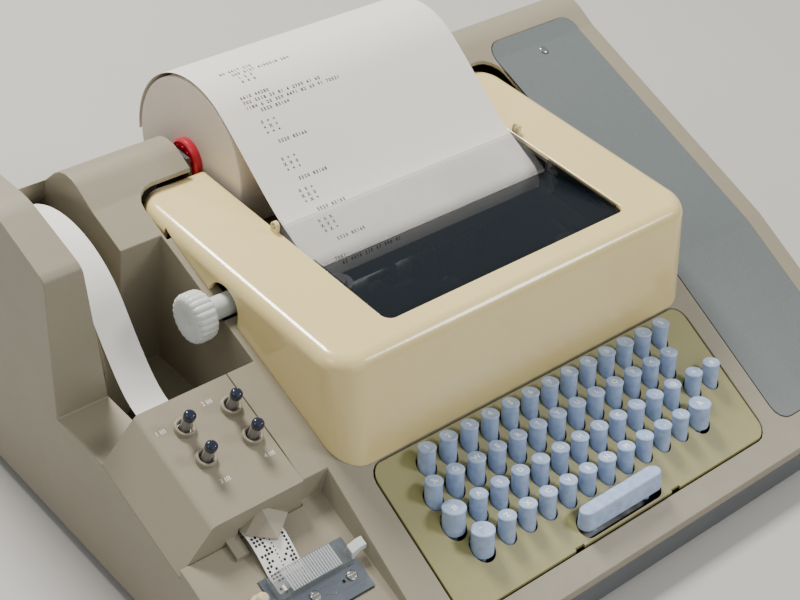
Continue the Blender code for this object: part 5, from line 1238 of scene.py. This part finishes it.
def makeButtons():
    ball, high, stem = punch["ball"], punch["high"], punch["stem"]
    for node, (x, y) in buttons.items():
        shaft = lathe(softProfile([(0, -5), (4.2, -5), (4.2, -1), (stem, 0), (stem, high - 5.6),
                                   (0, high - 5.6)], 0.4, 2), 32)
        cap = lathe(softProfile([(0, high - 6.2), (stem, high - 6.2), (ball, high - 4.9),
                                 (ball, high - 1.7), (ball * 0.62, high), (0, high)],
                                [0, 0.3, 1.2, 2.0, 2.6, 0], 5), 32)
        name = bodyOf[node].replace("_", "")
        standIn(node, onDeck(shaft, x, y), "stem", name=name + "Stem")
        addPiece(name + "Ball", onDeck(cap, x, y), "ball", bodyOf[node])
    shapes = []
    for text, x, y in marks:
        shape = glyphs(text, punch["markSize"], 0.05, 0.05)
        bars = [placed(box(-0.35, 0.35, -1.5, 1.5, -0.05, 0.05),
                       (3 + step * punch["barStep"], 0, 0)) for step in range(3)]
        shapes.append(onDeck(together(shape, *bars), x, y, 0.03))
    addPiece("punchMarks", together(*shapes), "bodyPrint", "machine")


makePunchCover()
makeButtons()
print("punch cover and buttons made")

# Keyboard: the plate, the keys with their signs, the space bar
board = {"pitch": 19.05, "x": -106, "y": -126, "z": 100, "stepY": 19.1, "stepZ": 9.6, "tilt": 8,
         "small": 6.35, "large": 8.2, "high": 14, "skirt": 8, "dish": 0.6, "stem": 3,
         "stemLong": 22, "hole": 0.9, "left": -144, "right": 157, "front": -215.5,
         "rear": -113.5, "thick": 2.6, "corner": 10.6, "spaceX": 7.5, "spaceY": -204,
         "spaceZ": 60, "spaceLong": 78, "spaceWide": 13, "spaceHigh": 13,
         "spaceSkirt": 2, "spaceStem": 3, "spaceStemX": 26.4, "spaceStemLow": -20.5,
         "barWide": 5, "barHigh": 1.6, "shortSkirt": 3, "signSmall": 6.0, "signLarge": 7.0,
         "notches": (-39, 57), "notchHalf": 4.2, "groove": 0.3}
keyUp = Vector((0, math.sin(math.radians(board["tilt"])), math.cos(math.radians(board["tilt"]))))
rowStarts, rowCounts = (0, -0.5, 0.75, 1.25), (13, 13, 11, 10)
keySigns = ["1234567890:-$", "%QWERTYUIOP<>", "#ASDFGHJKL;@+", "*ZXCVBNM,./&"]


# For each key: its row, its node, x, whether it is large, and its sign
def keyPlaces():
    made = []
    for row, (start, count) in enumerate(zip(rowStarts, rowCounts)):
        line = [[start + index, None, False] for index in range(count)]
        last = start + count - 1
        if row == 1:
            line[-2][1], line[-1][1] = "line_feed_key", "return_key"
        if row == 2:
            line.insert(0, [start - 1.15, "control_key", True])
            line += [[last + 1.22, None, False], [last + 2.22, "break_key", False]]
        if row == 3:
            line.insert(0, [start - 1.15, "shift_key_left", True])
            line.append([last + 1.07, "shift_key_right", True])
        for index, (share, node, large) in enumerate(line):
            made.append((row, node or "type_keys_row_%d" % (row + 1),
                         board["x"] + share * board["pitch"], large,
                         keySigns[row][index % len(keySigns[row])]))
    return made


def keyTop(row, x):
    return Vector((x, board["y"] - row * board["stepY"], board["z"] - row * board["stepZ"]))


def makeKeys():
    shapes, dish, stem = {}, board["dish"], board["stem"]
    for large in (False, True):
        radius = board["large" if large else "small"]
        down = board["high"] + board["skirt"] - (board["shortSkirt"] if large else 0)
        foot = -down - board["stemLong"] + board["skirt"]
        shapes[large] = [(0, foot), (stem, foot), (stem, -down), (radius - 0.3, -down),
                         (radius - 0.35, -dish * 5), (radius, -dish * 2.2), (radius, -dish),
                         (radius - dish, 0), (radius - dish * 2, -dish * 0.3),
                         (radius * 0.5, -dish * 0.8), (0, -dish)]
    caps, prints = {}, {}
    for row, node, x, large, letter in keyPlaces():
        key = placed(lathe(shapes[large], 36), keyTop(row, x), keyUp)
        caps.setdefault(node, []).append(key)
        sign = glyphs(letter, board["signLarge" if large else "signSmall"], 0.15, 0.16)
        seat = keyTop(row, x) - keyUp * (dish * 0.85)
        prints.setdefault(node, []).append(placed(sign, seat, keyUp))
    for node, solids in caps.items():
        if node.startswith("type_keys"):
            row = int(node[-1]) - 1
            xs = [spot[2] for spot in keyPlaces() if spot[1] == node]
            foot = keyTop(row, xs[0]) - keyUp * (board["high"] + board["skirt"])
            bar = box(0, max(xs) - xs[0], -board["barWide"] / 2, board["barWide"] / 2,
                      -board["barHigh"] / 2, board["barHigh"])
            solids.append(placed(bar, foot, keyUp))
        standIn(node, together(*solids), "key")
        addPiece(camel(node) + "Signs", together(*prints[node]), "keyPrint", bodyOf[node])


def pill(length, width, low, high, steps=12):
    half, radius = length / 2 - width / 2, width / 2
    outline = (arc((half, 0), radius, -math.pi / 2, math.pi / 2, steps)
               + arc((-half, 0), radius, math.pi / 2, math.pi * 1.5, steps))
    return prism("z", outline, low, high)


spaceSeat = (board["spaceX"], board["spaceY"], board["spaceZ"])


def makeSpaceBar():
    bar = pill(board["spaceLong"], board["spaceWide"], -board["spaceHigh"] - board["spaceSkirt"], 0)
    for corner in bar.verts:
        if corner.co.z > -1:
            corner.co.x *= 0.985
            corner.co.y *= 0.88
    bar = softened(bar, 1.5, 4, 60)
    stems = [placed(rod(board["spaceStem"], board["spaceStemLow"], -3, 24),
                    (side * board["spaceStemX"], 0, 0)) for side in (-1, 1)]
    standIn("space_bar", placed(plus(bar, *stems), spaceSeat, keyUp), "key", 50)


def makeKeyboardPlate():
    front, rear, thick = board["front"], board["rear"], board["thick"]
    slab = prism("x", [(front, keyboardZ(front) - thick), (rear, keyboardZ(rear) - thick),
                       (rear, keyboardZ(rear)), (front, keyboardZ(front))],
                 board["left"], board["right"])
    groove = board["groove"]
    plan = rectangle(board["left"], board["right"], front - groove, rear + groove)
    plan = prism("z", roundCorners(plan, board["corner"]), 0, reach)
    plate = softened(common(slab, plan), 0.4, 2, 50)
    cutters = []
    for row, node, x, large, letter in keyPlaces():
        radius = board["large" if large else "small"] + board["hole"]
        down = board["high"] + board["skirt"] * 3
        cutters.append(placed(rod(radius, -down, -board["high"] / 3), keyTop(row, x), keyUp))
    slot = pill(board["spaceLong"] + 2 * board["hole"], board["spaceWide"] + 2 * board["hole"],
                -board["spaceHigh"] - 16, -board["skirt"] / 2)
    cutters.append(placed(slot, spaceSeat, keyUp))
    half = board["notchHalf"]
    notches = [placed(box(-half, half, -2, 1.6, -6, 6), (x, front, keyboardZ(front)))
               for x in board["notches"]]
    standIn("keyboard_plate", less(plate, together(*cutters), together(*notches)), "olive")


makeKeys()
makeSpaceBar()
makeKeyboardPlate()
print("keyboard made")


stage = {"floor": (0.50, 0.49, 0.47), "size": 14, "world": 0.35,
         "sky": (1.0, 0.985, 0.96), "aimHeight": 0.1}


def makeStage():
    bpy.ops.mesh.primitive_plane_add(size=stage["size"])
    floor = bpy.context.object
    floor.name = "floor"
    made, shader, start, where = newMaterial("paleFloor", Roughness=0.6)
    soft = noise(start, where, 3, 4.0, 0.5)
    feed(shader, "Base Color", colourMix(remap(soft, 0.3, 0.7) * 0.3, stage["floor"],
                                         tuple(c * 0.94 for c in stage["floor"])))
    floor.data.materials.append(made)
    world = bpy.data.worlds.new("studio")
    world.use_nodes = True
    background = world.node_tree.nodes["Background"]
    background.inputs["Color"].default_value = (*stage["sky"], 1)
    background.inputs["Strength"].default_value = stage["world"]
    bpy.context.scene.world = world


lamps = {
    "keyLamp": {"place": (-0.1, 1.3, 2.0), "size": 0.55, "watts": 84, "colour": (1.0, 0.96, 0.90)},
    "topLamp": {"place": (1.3, -1.15, 1.5), "size": 0.5, "watts": 17, "colour": (1.0, 0.98, 0.94)},
    "sideLamp": {"place": (-1.7, 0.1, 1.7), "size": 0.8, "watts": 6, "colour": (1.0, 0.99, 0.97)},
    "fillLamp": {"place": (0.0, -2.0, 1.2), "size": 1.6, "watts": 8, "colour": (0.95, 0.97, 1.0)},
}


def makeLamps():
    for name, lamp in lamps.items():
        data = bpy.data.lights.new(name, "AREA")
        data.size, data.energy, data.color = lamp["size"], lamp["watts"], lamp["colour"]
        item = bpy.data.objects.new(name, data)
        item.location = lamp["place"]
        aim = Vector((0, 0, stage["aimHeight"])) - Vector(lamp["place"])
        item.rotation_euler = aim.to_track_quat("-Z", "Y").to_euler()
        collection.objects.link(item)


makeStage()
makeLamps()
print("stage lit")
